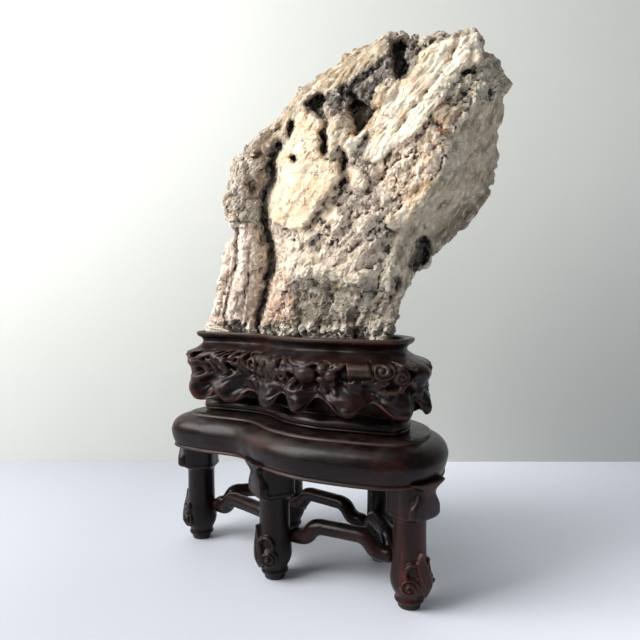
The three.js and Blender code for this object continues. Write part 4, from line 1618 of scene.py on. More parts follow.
@dataclass
class Stone:
    """The leaning rock. Its own frame has u along the broad face, v behind it and w up from the seat.

    The body is lofted over eight long edges, each a broken line of (w, u, v). Features of the broad
    face are drawn on the upright sheet v = 0 and carried to the surface along the straight lines
    that run to a point in front of it.
    """

    workshop: Workshop
    plan: KidneyPlan
    origin: tuple[float, float] = KidneyPlan.centre
    front_point: tuple[float, float, float] = (5.2, -473.7, 33.3)
    first_cell: float = 1.7               # lattice of the blank
    last_cell: float = 1.47               # lattice of the finished skin
    root: float = 12.0                    # depth below the seat that is carved and then cut off
    blank_hold: tuple[float, float] = (30.8, 1.15)    # inset and slope that hold the blank's foot
    last_hold: tuple[float, float] = (29.6, 2.2)      # the same for the finished foot
    hold_start: float = 0.6               # depth below the rim where the slope begins
    back_limit: float = 120.0             # workshop y that the back stays inside
    back_soft: float = 9.0                # depth over which the back is pressed together
    seam_scale: tuple[float, float, float] = (26.0, 52.0, 34.0)   # size of the plates behind
    bows: tuple[float, ...] = (0.16, 0.08, 0.04, 0.02, 0.10, 0.26, 0.26, 0.26)   # bulge after each edge
    edges: tuple[Line, ...] = (
        ((0, -52, 14), (13, -50, 14), (29, -42, 10), (49, -33, 4), (69, -32, 0), (88, -35, -4),
         (106, -38, -8), (121, -36, -9), (150, -29, -10), (175, -16, -12), (196, 5, -12),
         (214, 34, -14), (226, 55, -18)),
        ((0, -14, -6), (22, -16, -16), (48, -10, -34), (73, -6, -36), (117, -10, -34),
         (142, -2, -32), (167, 9, -30), (189, 27, -28), (206, 47, -28), (221, 60, -26)),
        ((0, 27, -24), (20, 29, -36), (47, 33, -56), (92, 40, -54), (113, 47, -52), (138, 54, -50),
         (161, 65, -48), (183, 76, -44), (204, 82, -38), (216, 88, -30)),
        ((0, 52, -46), (16, 55, -48), (30, 59, -50), (61, 61, -50), (80, 63, -50), (97, 75, -56),
         (112, 87, -60), (136, 93, -60), (152, 101, -58), (168, 112, -54), (178, 121, -50),
         (193, 122, -42), (212, 118, -37), (223, 116, -34)),
        ((0, 56, -36), (13, 60, -30), (25, 65, -26), (39, 70, -22), (47, 75, -18), (59, 90, -8),
         (77, 109, 0), (96, 122, 2), (115, 136, 0), (148, 143, -3), (175, 147, -5), (190, 148, -8),
         (199, 139, -16), (204, 127, -24), (214, 122, -28), (224, 118, -30)),
        ((0, 40, 0), (30, 50, 14), (60, 72, 22), (97, 100, 22), (130, 117, 13), (165, 124, 9),
         (190, 123, 3), (205, 115, -4), (222, 106, -16)),
        ((0, -5, 32), (30, 0, 38), (60, 15, 40), (97, 38, 38), (130, 58, 34), (165, 75, 26),
         (190, 88, 16), (210, 92, 2), (222, 92, -10)),
        ((0, -62, 52), (20, -68, 48), (45, -62, 42), (75, -55, 36), (110, -58, 30), (141, -60, 22),
         (158, -46, 20), (171, -29, 18), (195, -10, 14), (209, 9, 10), (217, 30, 4), (226, 48, -4)),
    )
    pillar: tuple[Line, Line] = (
        ((-2, -80, 34), (4, -78, 34), (16, -75, 32), (37, -69, 28), (60, -64, 22), (81, -60, 16),
         (97, -64, 12), (107, -62, 10), (118, -64, 8), (127, -66, 8), (138, -61, 8), (145, -54, 8),
         (156, -42, 6)),
        ((-2, -52, 24), (4, -51, 24), (21, -48, 20), (41, -40, 14), (60, -38, 10), (79, -39, 6),
         (91, -41, 4), (104, -43, 2), (119, -40, 0), (139, -34, 0), (150, -28, 0), (158, -24, 0),
         (166, -18, 0)),
    )
    flake: tuple[Line, Line] = (
        ((-2, -88, 28), (6, -88, 30), (29, -85, 38), (53, -75, 30), (73, -69, 24), (84, -60, 20)),
        ((-2, -80, 38), (6, -79, 40), (29, -73, 34), (50, -68, 28), (70, -62, 22), (86, -57, 18)),
    )
    knobs: tuple[tuple[float, float, float, float], ...] = (      # w, u, v and radius
        (220, 62, -14, 9.5), (213, 50, -12, 8), (210, 88, -14, 6), (214, 117, -32, 4.4),
        (219, 119, -32, 2.8), (190, 141, -14, 7), (203, 128, -20, 7), (138, -57, 12, 9),
        (121, -60, 10, 7), (107, -56, 10, 8), (60, 86, -6, 7), (92, -50, 8, 7),
    )
    slabs: tuple[Slab, ...] = (
        Slab(((-41, 107), (-31, 121), (-23, 136), (-9, 138), (6, 139), (24, 134), (20, 124), (7, 108),
              (-4, 91), (-9, 85), (-14, 84), (-22, 87), (-31, 91), (-37, 97)), 10.5, 0.8, 1.0,
             (0.09, -0.02), -0.4),
        Slab(((23, 134), (29, 135), (25, 123), (13, 107), (2, 90), (-8, 84), (-5, 90), (7, 109),
              (20, 125)), 5.0, 1.2, 0.8, (0.0, 0.0), 0.2),
        Slab(((-18, 155), (-13, 169), (-8, 175), (2, 174), (7, 167), (5, 158), (7, 148), (9, 139),
              (-4, 137), (-17, 137), (-26, 133), (-29, 140), (-22, 148)), 6.5, 2.0, 0.85,
             (0.0, 0.05), -0.2),
        Slab(((38, 140), (43, 151), (47, 164), (53, 178), (58, 190), (69, 208), (76, 217), (91, 226),
              (109, 232), (113, 227), (107, 215), (96, 201), (85, 188), (76, 178), (65, 160),
              (58, 144), (47, 135)), 4.0, 3.0, 0.9, (0.06, 0.0), 0.55),
        Slab(((58, 146), (65, 160), (76, 178), (91, 194), (102, 208), (109, 218), (113, 231),
              (127, 236), (131, 226), (131, 217), (118, 208), (106, 196), (99, 184), (91, 174),
              (84, 164), (73, 155)), 6.5, 2.5, 1.0, (0.05, 0.0), 1.1),
        Slab(((27, 132), (34, 133), (42, 125), (40, 117), (33, 115), (26, 123)), 6.5, 1.8, 0.9,
             (0.0, 0.0), 0.9),
        Slab(((12, 144), (9, 158), (14, 171), (23, 174), (29, 169), (27, 160), (22, 151), (16, 144)),
             7.5, 2.0, 0.6, (-0.2, 0.0)),
        Slab(((22, 139), (23, 149), (33, 160), (42, 164), (38, 155), (31, 146), (25, 139)), 8.0, 1.8,
             0.95, (0.0, 0.0), 0.9),
        Slab(((2, 106), (10, 110), (18, 104), (22, 94), (12, 90), (4, 96)), 3.5, 2.0, 0.7),
        Slab(((-5, 92), (2, 91), (12, 85), (9, 81), (-2, 85)), 4.5, 1.5, 0.85),
        Slab(((-12, 84), (-4, 86), (3, 82), (1, 76), (-9, 75)), 4.0, 1.8, 0.35),
        Slab(((57, 90), (63, 99), (76, 107), (90, 117), (86, 104), (74, 92), (62, 83)), 4.5, 2.5, 0.7),
        Slab(((94, 178), (105, 181), (115, 178), (109, 169), (102, 165), (94, 169)), 4.5, 1.5, 0.1),
        Slab(((91, 164), (105, 161), (104, 156), (94, 157)), 4.5, 1.2, 0.0),
        Slab(((84, 137), (92, 142), (98, 136), (90, 130)), 2.5, 1.5, 0.75),
        Slab(((-42, 76), (-36, 92), (-31, 84), (-32, 60), (-28, 44), (-33, 40), (-36, 56)), 3.5, 2.5, 0.4),
        Slab(((34, 92), (44, 96), (50, 88), (40, 82)), 3.0, 2.0, 0.3),
        Slab(((50, 112), (58, 120), (64, 112), (56, 106)), 2.6, 2.0, 0.3),
    )
    holes: tuple[Hole, ...] = (
        Hole(((8, 190), (26, 198), (47, 211), (58, 222), (60, 205), (52, 196), (50, 184), (45, 176),
              (32, 178), (22, 174), (12, 178)), 5.5, 4.0, 0.42),
        Hole(((-8, 182), (2, 190), (10, 190), (13, 184), (9, 178), (12, 169), (4, 170), (-3, 176)), 18),
        Hole(((25, 181), (30, 188), (38, 186), (46, 180), (52, 180), (46, 170), (41, 162), (32, 155),
              (30, 166), (27, 174)), 24),
        Hole(((25, 188), (31, 196), (36, 188), (32, 180)), 15, 1.5),
        Hole(((58, 233), (78, 231), (84, 224), (82, 211), (74, 201), (65, 197), (58, 212)), 6.5, 3.0, 0.5),
        Hole(((60, 229), (68, 232), (74, 227), (71, 219), (76, 210), (73, 202), (66, 197), (62, 202),
              (60, 212), (58, 220)), 17),
        Hole(((-21, 169), (-16, 171), (-13, 164), (-18, 152), (-21, 158)), 11, 1.4),
        Hole(((-19, 141), (-15, 144), (-12, 140), (-15, 135), (-19, 137)), 10, 1.2),
        Hole(((3, 161), (8, 164), (12, 157), (10, 148), (8, 140), (3, 145), (5, 153)), 13, 1.4),
        Hole(((22, 148), (26, 145), (28, 137), (26, 130), (20, 128), (21, 137)), 9, 1.4),
        Hole(((18, 120), (24, 126), (28, 122), (22, 115)), 7, 1.4),
        Hole(((79, 76), (86, 81), (93, 77), (92, 65), (86, 54), (77, 50), (73, 58), (78, 68)), 18, 2.5),
        Hole(((62, 47), (67, 50), (70, 42), (66, 34), (62, 38)), 9, 1.6, 0.8),
        Hole(((-70, 10), (-61, 16), (-53, 12), (-50, -8), (-72, -8)), 10, 1.8),
        Hole(((-40, 9), (-34, 13), (-26, 9), (-28, -6), (-40, -6)), 8, 1.8, 0.7),
        Hole(((30, 8), (40, 11), (48, 7), (44, -6), (30, -6)), 6, 2.0, 0.5),
        Hole(((-2, 44), (3, 46), (5, 41), (0, 39)), 5, 1.2), Hole(((13, 45), (19, 45), (18, 41)), 4, 1.2),
        Hole(((112, 207), (128, 212), (126, 206), (113, 201)), 7, 1.6, 0.8),
        Hole(((50, 124), (54, 127), (57, 123), (52, 121)), 4, 1.0, 0.9),
        Hole(((84, 88), (88, 90), (89, 85), (85, 84)), 6, 1.2, 0.8),
        Hole(((96, 170), (103, 166), (98, 163), (93, 165)), 4, 1.0, 0.6),
        Hole(((-52, 120), (-46, 124), (-44, 114), (-50, 110)), 5, 2.0, 0.4),
        Hole(((-62, 102), (-54, 104), (-48, 98), (-60, 96)), 4, 2.0, 0.4),
        Hole(((-46, 80), (-38, 86), (-35, 76), (-42, 70)), 6, 2.0, 0.6),
    )
    clefts: tuple[Cleft, ...] = (
        Cleft(((-27, 150), (-33, 137), (-31, 123), (-38, 108), (-37, 88), (-34, 76), (-32, 55),
               (-38, 37), (-43, 17), (-46, 4)), 5.2, 19),
        Cleft(((-60, 86), (-61, 59), (-66, 37), (-70, 15), (-72, 2)), 2.6, 14),
        Cleft(((29, 135), (22, 124), (14, 114), (7, 101), (0, 91)), 1.7, 6),
        Cleft(((113, 231), (106, 215), (96, 201), (84, 186), (76, 177), (65, 160)), 1.5, 4.5),
        Cleft(((54, 204), (44, 186), (52, 180), (42, 166), (36, 160)), 1.3, 4),
        Cleft(((-22, 22), (-24, 44), (-26, 60)), 1.6, 5),
        Cleft(((61, 0), (66, 18), (61, 34), (70, 52), (66, 70), (80, 90)), 1.5, 4),
        Cleft(((27, 98), (30, 84), (28, 72)), 1.2, 3), Cleft(((56, 140), (62, 150), (72, 156)), 1.2, 3),
        Cleft(((-20, 84), (-12, 74), (-2, 75), (6, 68)), 1.4, 4),
        Cleft(((42, 128), (45, 120), (40, 112)), 1.2, 4), Cleft(((60, 82), (56, 92), (60, 100)), 1.2, 3.5),
        Cleft(((36, 20), (32, 10), (34, 2)), 1.6, 5), Cleft(((-8, 18), (-12, 8), (-10, 0)), 1.4, 5),
        Cleft(((-58, 146), (-50, 132), (-52, 118)), 1.6, 4),
        Cleft(((-64, 112), (-54, 108), (-44, 112)), 1.6, 4),
        Cleft(((-60, 93), (-50, 90), (-40, 92)), 1.6, 4),
        Cleft(((-50, 72), (-52, 48), (-56, 24)), 1.2, 3.5),
        Cleft(((104, 116), (112, 132), (116, 144)), 0.9, 1.8),
        Cleft(((118, 112), (128, 136), (132, 160)), 0.9, 1.8),
        Cleft(((92, 92), (100, 104), (112, 112)), 1.0, 2.2),
        Cleft(((96, 74), (108, 92), (120, 100)), 1.1, 2.6),
    )
    ridges: tuple[Ridge, ...] = (
        Ridge(((24, 152), (40, 172), (58, 192)), 3.0, 5.5),
        Ridge(((-24, 50), (0, 53), (22, 50), (36, 44)), 6.0, 3.8),
        Ridge(((58, 36), (62, 62), (76, 92), (88, 112)), 4.5, 3.0),
    )
    zones: tuple[Zone, ...] = (
        Zone(((-95, -5), (-82, 60), (-62, 88), (-36, 88), (-33, 60), (-42, 20), (-46, -5)), 5,
             linear(238, 218, 202), 0.6),
        Zone(((-66, 135), (-53, 148), (-35, 158), (-26, 146), (-35, 119), (-37, 101), (-33, 87),
              (-44, 86), (-66, 88), (-62, 108), (-68, 119)), 4, linear(190, 178, 164), 0.95),
        Zone(((-52, 142), (-24, 172), (1, 202), (33, 224), (58, 238), (65, 240), (58, 222), (47, 210),
              (25, 196), (7, 186), (-18, 167), (-37, 149)), 2.5, linear(182, 162, 136), 0.25),
        Zone(((7, 189), (25, 198), (47, 211), (58, 222), (60, 205), (52, 196), (50, 184), (45, 176),
              (32, 176), (20, 172), (11, 176)), 3, linear(150, 140, 132), 1.15),
        Zone(((58, 233), (78, 232), (85, 224), (82, 211), (74, 201), (65, 197), (58, 215)), 3,
             linear(140, 132, 124), 1.1),
        Zone(((52, 228), (56, 236), (72, 236), (74, 228), (64, 222)), 3, linear(188, 174, 156), 0.5),
        Zone(((70, 162), (85, 166), (106, 158), (107, 140), (98, 123), (84, 108), (69, 101), (54, 112),
              (45, 132), (60, 142)), 4, linear(250, 226, 200), 0.85),
        Zone(((20, 126), (45, 132), (54, 112), (69, 101), (66, 84), (40, 66), (0, 70), (-26, 86),
              (-4, 90), (10, 106)), 4, linear(226, 210, 191), 1.0),
        Zone(((-34, 84), (0, 72), (40, 68), (66, 84), (62, 50), (36, 36), (-10, 40), (-30, 50)), 5,
             linear(219, 203, 183), 0.55),
        # low bulge over the base: its own grey tan, darkened further as painted shade for its
        # downward-turned face
        Zone(((-26, 44), (50, 42), (62, 20), (50, 6), (-30, 8)), 5, linear(146, 135, 120), 0.55),
        Zone(((-34, 46), (-17, 48), (-15, 14), (-38, 12)), 3, linear(206, 176, 154), 0.7),
        Zone(((-100, 7), (64, 11), (66, -8), (-100, -8)), 4, linear(220, 212, 198), 1.0),
        Zone(((62, 79), (73, 94), (91, 119), (105, 140), (111, 162), (127, 183), (153, 201), (168, 194),
              (160, 151), (152, 119), (134, 94), (102, 70), (82, 50), (65, 40)), 2.5,
             linear(203, 187, 162), 0.08),
        Zone(((86, 54), (92, 80), (112, 100), (140, 124), (150, 112), (124, 80), (100, 56)), 6,
             linear(150, 139, 119), 0.5),
        Zone(((105, 196), (120, 210), (135, 218), (162, 206), (158, 190), (138, 182), (120, 182)), 3,
             linear(206, 198, 178), 0.85),
        Zone(((69, 112), (90, 125), (95, 121), (85, 108), (74, 102)), 1.6,
             linear(196, 162, 120), 0.35, 0.75),
        Zone(((94, 179), (105, 182), (116, 179), (109, 168), (102, 164), (94, 169)), 1.5,
             linear(178, 150, 122), 0.35),
        Zone(((90, 165), (106, 162), (104, 156), (94, 157)), 1.2, linear(150, 112, 86), 0.4),
        Zone(((22, 152), (54, 196), (62, 192), (58, 180), (46, 165), (30, 151)), 2,
             linear(216, 188, 152), 0.4),
    )
    host: Colour = linear(196, 182, 164)
    cream: Colour = linear(231, 210, 181)
    white: Colour = linear(255, 244, 222)
    honey: Colour = linear(230, 192, 150)
    # dark of holes and deep clefts: partly painted shade, partly dark minerals
    dark_mineral_and_shade: Colour = linear(60, 55, 50)
    veined: Colour = linear(232, 222, 202)
    brown: Colour = linear(168, 134, 104)
    streak: Colour = linear(140, 130, 106)
    fleck: Colour = linear(250, 240, 222)
    noise: Noise = field(default_factory=lambda: Noise(7))

    # ---- frame

    def to_workshop(self, points: Array) -> Array:
        """Stone frame (u, v, w) to workshop millimetres."""
        cosine, sine = math.cos(STONE_TURN), math.sin(STONE_TURN)
        u, v, w = points.T
        return np.stack([
            self.origin[0] + u * cosine - v * sine, self.origin[1] + u * sine + v * cosine,
            self.workshop.seat + w], axis=1)

    def to_stone(self, placed: Array) -> Array:
        """Workshop millimetres to the stone frame (u, v, w)."""
        cosine, sine = math.cos(STONE_TURN), math.sin(STONE_TURN)
        x, y = (placed[:, :2] - np.array(self.origin)).T
        w = placed[:, 2] - self.workshop.seat
        return np.stack([x * cosine + y * sine, y * cosine - x * sine, w], axis=1)

    def sheet(self, points: Array) -> tuple[Array, Array]:
        """Where the line from the front point through each point meets the sheet v = 0.

        Args:
            points: (n, 3) in the stone frame.
        Returns:
            (n, 2) places on the sheet, and (n, 3) unit directions to the front point.
        """
        eye = np.array(self.front_point)
        away = points - eye
        share = -eye[1] / away[:, 1]
        met = eye + away * share[:, None]
        return met[:, [0, 2]], -away / np.linalg.norm(away, axis=1, keepdims=True)

    # ---- rough body

    def climbed(self, edge: Line, share: Array) -> Array:
        """Places (u, v, w) at even shares of an edge's height, from the root to its crown.

        Args:
            edge: the edge as (w, u, v).
            share: (n,) shares of the height.
        Returns:
            (n, 3) places.
        """
        w, u, v = np.array(edge, float).T
        height = mix(-self.root, w[-1], share)
        return np.stack([np.interp(height, w, u), np.interp(height, w, v), height], axis=1)

    def body(self) -> Skin:
        """Loft over the eight edges, which all run from foot to crown together.

        A ring holds seven points from each edge to the next, bowed out a little between them.

        Returns:
            The body in the stone frame.
        """
        rows, between = 110, 7
        share = np.linspace(0, 1, rows)
        corners = np.stack([self.climbed(edge, share) for edge in self.edges], axis=1)
        after = np.roll(corners, -1, axis=1)
        step = np.arange(between) / between
        side = after - corners
        ring = corners[:, :, None] + side[:, :, None] * step[None, None, :, None]
        out = np.stack([side[..., 1], -side[..., 0], 0 * side[..., 0]], axis=-1)
        bow = np.array(self.bows)[:, None] * step * (1 - step)
        ring = ring + out[:, :, None] * bow[None, :, :, None]
        return Skin.loft(ring.reshape(rows, -1, 3))

    def upright(self, lines: tuple[Line, Line], depth: float, rows: int = 70) -> Skin:
        """An upright shard between its left and right edges, its level sections ellipses.

        Args:
            lines: left and right edge as (w, u, v).
            depth: half its thickness.
            rows: number of level sections.
        Returns:
            The shard.
        """
        share = np.linspace(0, 1, rows)
        left, right = (self.climbed(line, share) for line in lines)
        middle, half = (left + right) / 2, (right - left) / 2
        behind = np.stack([-half[:, 1], half[:, 0], 0 * share], axis=1)
        behind *= depth / np.maximum(np.linalg.norm(behind, axis=1, keepdims=True), 1e-6)
        angle = full_turn(32)[:, None]
        rings = middle[:, None] + half[:, None] * np.cos(angle) + behind[:, None] * np.sin(angle)
        return Skin.loft(rings)

    @staticmethod
    def knob(w: float, u: float, v: float, radius: float) -> Skin:
        """A ball at a place in the stone frame."""
        tilt = np.linspace(-np.pi / 2, np.pi / 2, 16)[1:-1, None]
        angle = full_turn(24)
        return Skin.loft(xyz(
            u + radius * np.cos(tilt) * np.cos(angle), v + radius * np.cos(tilt) * np.sin(angle),
            w + radius * np.sin(tilt)))

    # ---- relief

    @staticmethod
    def bedded(points: Array, across: float, along: float, behind: float) -> Array:
        """Coordinates along the leaning bedding, each divided by its own length.

        Args:
            points: (n, 3) in the stone frame.
            across: length of a cell across the beds.
            along: length of a cell up the beds.
            behind: length of a cell into the stone.
        Returns:
            (n, 3) coordinates for noise.
        """
        level, rise = math.cos(BEDDING), math.sin(BEDDING)
        return np.stack([
            points @ np.array([-rise, 0.3, level]) / across, points @ np.array([level, 0.0, rise]) / along,
            points[:, 1] / behind], axis=1)

    def ledges(self, points: Array, normal: tuple[float, float, float], pitch: float) -> Array:
        """Broken bedding: a sawtooth of long slopes and short drops along the bedding's normal.

        Args:
            points: (n, 3) in the stone frame.
            normal: direction across the beds.
            pitch: thickness of a bed.
        Returns:
            Heights from -0.5 to 0.5.
        """
        over = points @ np.array(normal) / pitch + 0.7 * self.noise.fractal(points / (3.0 * pitch), 2)
        share = over - np.floor(over)
        return np.minimum(share / 0.82, (1 - share) / 0.18) - 0.5

    def warped(self, points: Array, place: Array) -> Array:
        """Places on the sheet moved by up to a few millimetres, so that drawn edges break naturally.

        Args:
            points: (n, 3) in the stone frame.
            place: (n, 2) places on the sheet.
        Returns:
            (n, 2) moved places.
        """
        shift = np.stack([
            1.3 * self.noise.fractal(points / 11.0 + far, 2) + 0.7 * self.noise.plain(points / 3.4 + near)
            for far, near in ((0.0, 0.0), (31.0, 57.0))], axis=1)
        return place + shift

    def caves(self, place: Array) -> Array:
        """How deep in a hole or a deep cleft each place is.

        Args:
            place: (n, 2) warped places on the sheet.
        Returns:
            Values from 0 to 1.
        """
        found = np.zeros(len(place))
        for hole in self.holes:
            found = np.maximum(found, hole.dark * smoothstep(-0.3, 1.6, polygon_depth(place, hole.outline)))
        for cleft in self.clefts:
            if cleft.depth > 8:
                gap = line_distance(place, cleft.line)
                found = np.maximum(found, 0.75 * smoothstep(1.1 * cleft.half, 0.4 * cleft.half, gap))
        return found

    def drawn_relief(self, place: Array) -> Array:
        """Slabs, ridges, a broad scoop, holes and clefts as height towards the front.

        Args:
            place: (n, 2) warped places on the sheet.
        Returns:
            Heights in millimetres.
        """
        u, w = place.T
        relief = np.zeros(len(place))
        for slab in self.slabs:
            depth = polygon_depth(place, slab.outline)
            lean = (place - np.mean(slab.outline, axis=0)) @ np.array(slab.tilt)
            edge = smoothstep(-0.5 * slab.soft, 0.5 * slab.soft, depth)
            relief = np.maximum(relief, (slab.rise + lean) * edge)
        for ridge in self.ridges:
            relief += ridge.rise * hump(line_distance(place, ridge.line), ridge.half)
        relief -= 7.5 * hump(np.hypot((u - 1) / 2.0, w - 35), 10.5)
        for hole in self.holes:
            inside = smoothstep(-0.5 * hole.soft, 1.1 * hole.soft, polygon_depth(place, hole.outline))
            relief -= (hole.depth + 0.6 * np.maximum(relief, 0)) * inside
        for cleft in self.clefts:
            gap = line_distance(place, cleft.line)
            relief -= cleft.depth * smoothstep(1.25 * cleft.half, 0.35 * cleft.half, gap)
        return relief

    def beds(self, points: Array, place: Array) -> Array:
        """Ledges of the bedding: leaning in the upper half, upright in the pillar, level below.

        Args:
            points: (n, 3) in the stone frame.
            place: (n, 2) places on the sheet.
        Returns:
            Heights along the normal.
        """
        u, w = place.T
        level, rise = math.cos(BEDDING), math.sin(BEDDING)
        pillar = smoothstep(-30, -40, u) * smoothstep(96, 80, w)
        upper = np.maximum(smoothstep(84, 110, w), smoothstep(58, 70, u)) * (1 - pillar)
        gate = smoothstep(-0.25, 0.25, self.noise.plain(points / 34.0 + 8.0))
        leaning = self.ledges(points, (-rise, 0.35, level), 9.0)
        standing = self.ledges(points, (0.95, 0.3, 0.15), 5.5)
        lying = self.ledges(points, (0.14, 0.3, 0.95), 12.0)
        return (2.3 * leaning * upper * (0.35 + 0.65 * gate) + 2.0 * standing * pillar
                + 1.5 * lying * (1 - upper) * (1 - pillar) * (0.3 + 0.7 * gate))

    def rough_relief(self, points: Array, rough: Array, place: Array) -> Array:
        """Broad lumps, bedding and big flat chips, all round the stone.

        Args:
            points: (n, 3) in the stone frame.
            rough: (n,) roughness of the surface.
            place: (n, 2) places on the sheet.
        Returns:
            Heights along the normal.
        """
        lumps = self.noise.fractal(points / 30.0, 2, 0.45)
        tilt, _ = self.noise.chips(self.bedded(points, 14.0, 26.0, 18.0))
        crags = self.noise.ridged(points / 15.0 + 3.0, 2, 0.5)
        keep = 0.30 + 0.70 * np.minimum(rough, 1.0)
        split, _ = self.noise.chips(self.bedded(points, 7.5, 15.0, 10.0) + 6.0)
        return (1.7 * lumps + (4.4 * tilt + self.beds(points, place)) * keep
                + (2.6 * split + 0.6 * crags) * np.minimum(rough, 1.0))

    def back_plates(self, points: Array) -> Array:
        """Noise whose high places are the quartz plates behind."""
        return self.noise.plain(self.bedded(points, *self.seam_scale) + 3.0)

    def back_relief(self, points: Array, facing: Array) -> Array:
        """Holes, plates and a long seam on the sides that the drawn features don't reach.

        Args:
            points: (n, 3) in the stone frame.
            facing: (n,) how far each point faces the front.
        Returns:
            Heights along the normal.
        """
        pits = self.noise.plain(points / np.array([19.0, 19.0, 24.0]) + 5.0)
        deep = smoothstep(0.42, 0.66, pits) * 13.0
        seam = hump(self.noise.plain(points / np.array([34.0, 34.0, 60.0]) + 11.0), 0.035) * 5.5
        plate = smoothstep(0.08, 0.15, self.back_plates(points)) * 5.0
        return (plate - deep - seam) * smoothstep(0.15, -0.15, facing)

    def fine_relief(self, points: Array, place: Array, rough: Array, facing: Array) -> Array:
        """Chips, grains and pits where the rock is rough; fine threads on the pillar; grooves on quartz.

        Args:
            points: (n, 3) in the stone frame.
            place: (n, 2) places on the sheet.
            rough: (n,) roughness of the surface.
            facing: (n,) how far each point faces the front.
        Returns:
            Heights along the normal.
        """
        u, w = place.T
        chip, _ = self.noise.chips(self.bedded(points, 5.2, 8.5, 6.0) + 2.0)
        small, _ = self.noise.chips(points / 3.3 + 9.0)
        grain = self.noise.ridged(points / 5.6, 3, 0.6)
        pits = smoothstep(0.34, 0.60, self.noise.plain(points / 3.4 + 40.0))
        relief = (2.4 * chip + 0.5 * grain) * (0.25 + 0.75 * rough)
        relief += (0.6 * small - 0.6 * pits) * rough**2
        grooves = self.noise.ridged(self.bedded(points, 3.4, 24.0, 9.0), 2)
        vein = 0.25 + 0.75 * smoothstep(142, 152, w + 0.4 * u)
        relief += 0.42 * grooves * vein * (1 - smoothstep(0.5, 0.9, rough))
        threads = self.noise.ridged(points / np.array([3.0, 3.0, 26.0]), 2)
        pillar = smoothstep(-26, -36, u + 0.10 * w) * smoothstep(104, 84, w)
        low_left = smoothstep(-10, -18, u) * smoothstep(-42, -36, u) * smoothstep(52, 44, w)
        relief += 0.85 * threads * np.maximum(pillar, low_left) * smoothstep(-0.1, 0.3, facing)
        crumb = smoothstep(18, 6, points[:, 2])
        relief += crumb * (0.9 * self.noise.ridged(points / 7.0 + 70.0, 2) + 0.8 * small)
        return relief - 1.5 * self.crevices(points, rough)

    def crevices(self, points: Array, rough: Array) -> Array:
        """Thin dark cracks round some of the broken chunks, from 0 to 1.

        Args:
            points: (n, 3) in the stone frame.
            rough: (n,) roughness of the surface.
        Returns:
            How far each point is in a crack.
        """
        bend = np.stack([self.noise.plain(points / 5.0 + shift) for shift in (3.0, 33.0, 63.0)], axis=1)
        bent = points + 1.6 * bend
        _, edge = self.noise.chips(self.bedded(bent, 9.0, 17.0, 11.0) + 4.0)
        gate = smoothstep(-0.05, 0.25, self.noise.plain(points / 19.0 + 15.0))
        return hump(edge, 0.045) * gate * smoothstep(0.3, 0.8, rough)

    # ---- colour

    def quartz_share(self, place: Array) -> tuple[Array, Array]:
        """Quartz of the slabs.

        Args:
            place: (n, 2) places on the sheet.
        Returns:
            How much of each point is quartz, and how white that quartz is.
        """
        found, pale = np.zeros(len(place)), np.zeros(len(place))
        for slab in self.slabs:
            share = smoothstep(-1.2, 1.2, polygon_depth(place, slab.outline))
            found = np.maximum(found, slab.quartz * share)
            pale = mix(pale, slab.pale, share)
        return found, pale

    def zoned(self, place: Array, quartz: Array, front: Array) -> tuple[Array, Array]:
        """Colour and roughness from the zones.

        Args:
            place: (n, 2) places on the sheet.
            quartz: (n,) how much of each point is quartz.
            front: (n,) 1 where the zones apply.
        Returns:
            (n, 3) linear colours and (n,) roughnesses.
        """
        colour = np.tile(rgb(self.host), (len(place), 1))
        rough = 0.45 + 0.35 * front
        for zone in self.zones:
            share = smoothstep(-zone.soft, zone.soft, polygon_depth(place, zone.outline)) * front
            colour = mix(colour, rgb(zone.colour), share[:, None] * zone.strength)
            rough = mix(rough, zone.rough, share)
        return colour, rough * (1 - 0.85 * quartz)

    def tint(self, points: Array, colour: Array, quartz: Array, pale: Array, rough: Array) -> Array:
        """Zone colours broken by brown stains and pale grains; cream, white and honey quartz.

        Args:
            points: (n, 3) in the stone frame.
            colour: (n, 3) colours of the zones.
            quartz: (n,) how much of each point is quartz.
            pale: (n,) how white the quartz is.
            rough: (n,) roughness of the surface.
        Returns:
            (n, 3) linear colours.
        """
        veins = smoothstep(0.25, 0.6, self.noise.fractal(self.bedded(points, 16.0, 48.0, 30.0) + 3.0, 3))
        colour = mix(colour, rgb(self.veined), veins[:, None] * 0.45)
        patch = self.noise.fractal(self.bedded(points, 8.0, 16.0, 12.0) + 21.0, 3)
        brown = smoothstep(0.15, 0.65, patch) * (0.16 + 0.24 * rough) * (1 - quartz)
        colour = mix(colour, rgb(self.brown), brown[:, None])
        streaks = smoothstep(0.0, 0.55, self.noise.fractal(self.bedded(points, 4.5, 26.0, 10.0) + 77.0, 3))
        streaks = streaks * 0.7 * (1 - smoothstep(0.35, 0.7, rough)) * (1 - quartz)
        colour = mix(colour, rgb(self.streak), streaks[:, None])
        flecks = smoothstep(0.10, 0.50, self.noise.fractal(points / 6.0 + 61.0, 2)) * 0.45
        colour = mix(colour, rgb(self.fleck), flecks[:, None])
        white = smoothstep(0.0, 0.8, self.noise.fractal(points / 16.0 + 91.0, 2) + pale)
        clean = mix(rgb(self.cream), rgb(self.white), white[:, None])
        spots = self.noise.fractal(self.bedded(points, 6.0, 13.0, 9.0) + 131.0, 3)
        stained = smoothstep(0.05, 0.50, spots)
        clean = mix(clean, rgb(self.honey), stained[:, None] * 0.65 * (1 - 0.5 * white[:, None]))
        return np.clip(mix(colour, clean, (quartz * 0.96)[:, None]), 0.0, 1.0)

    # ---- making

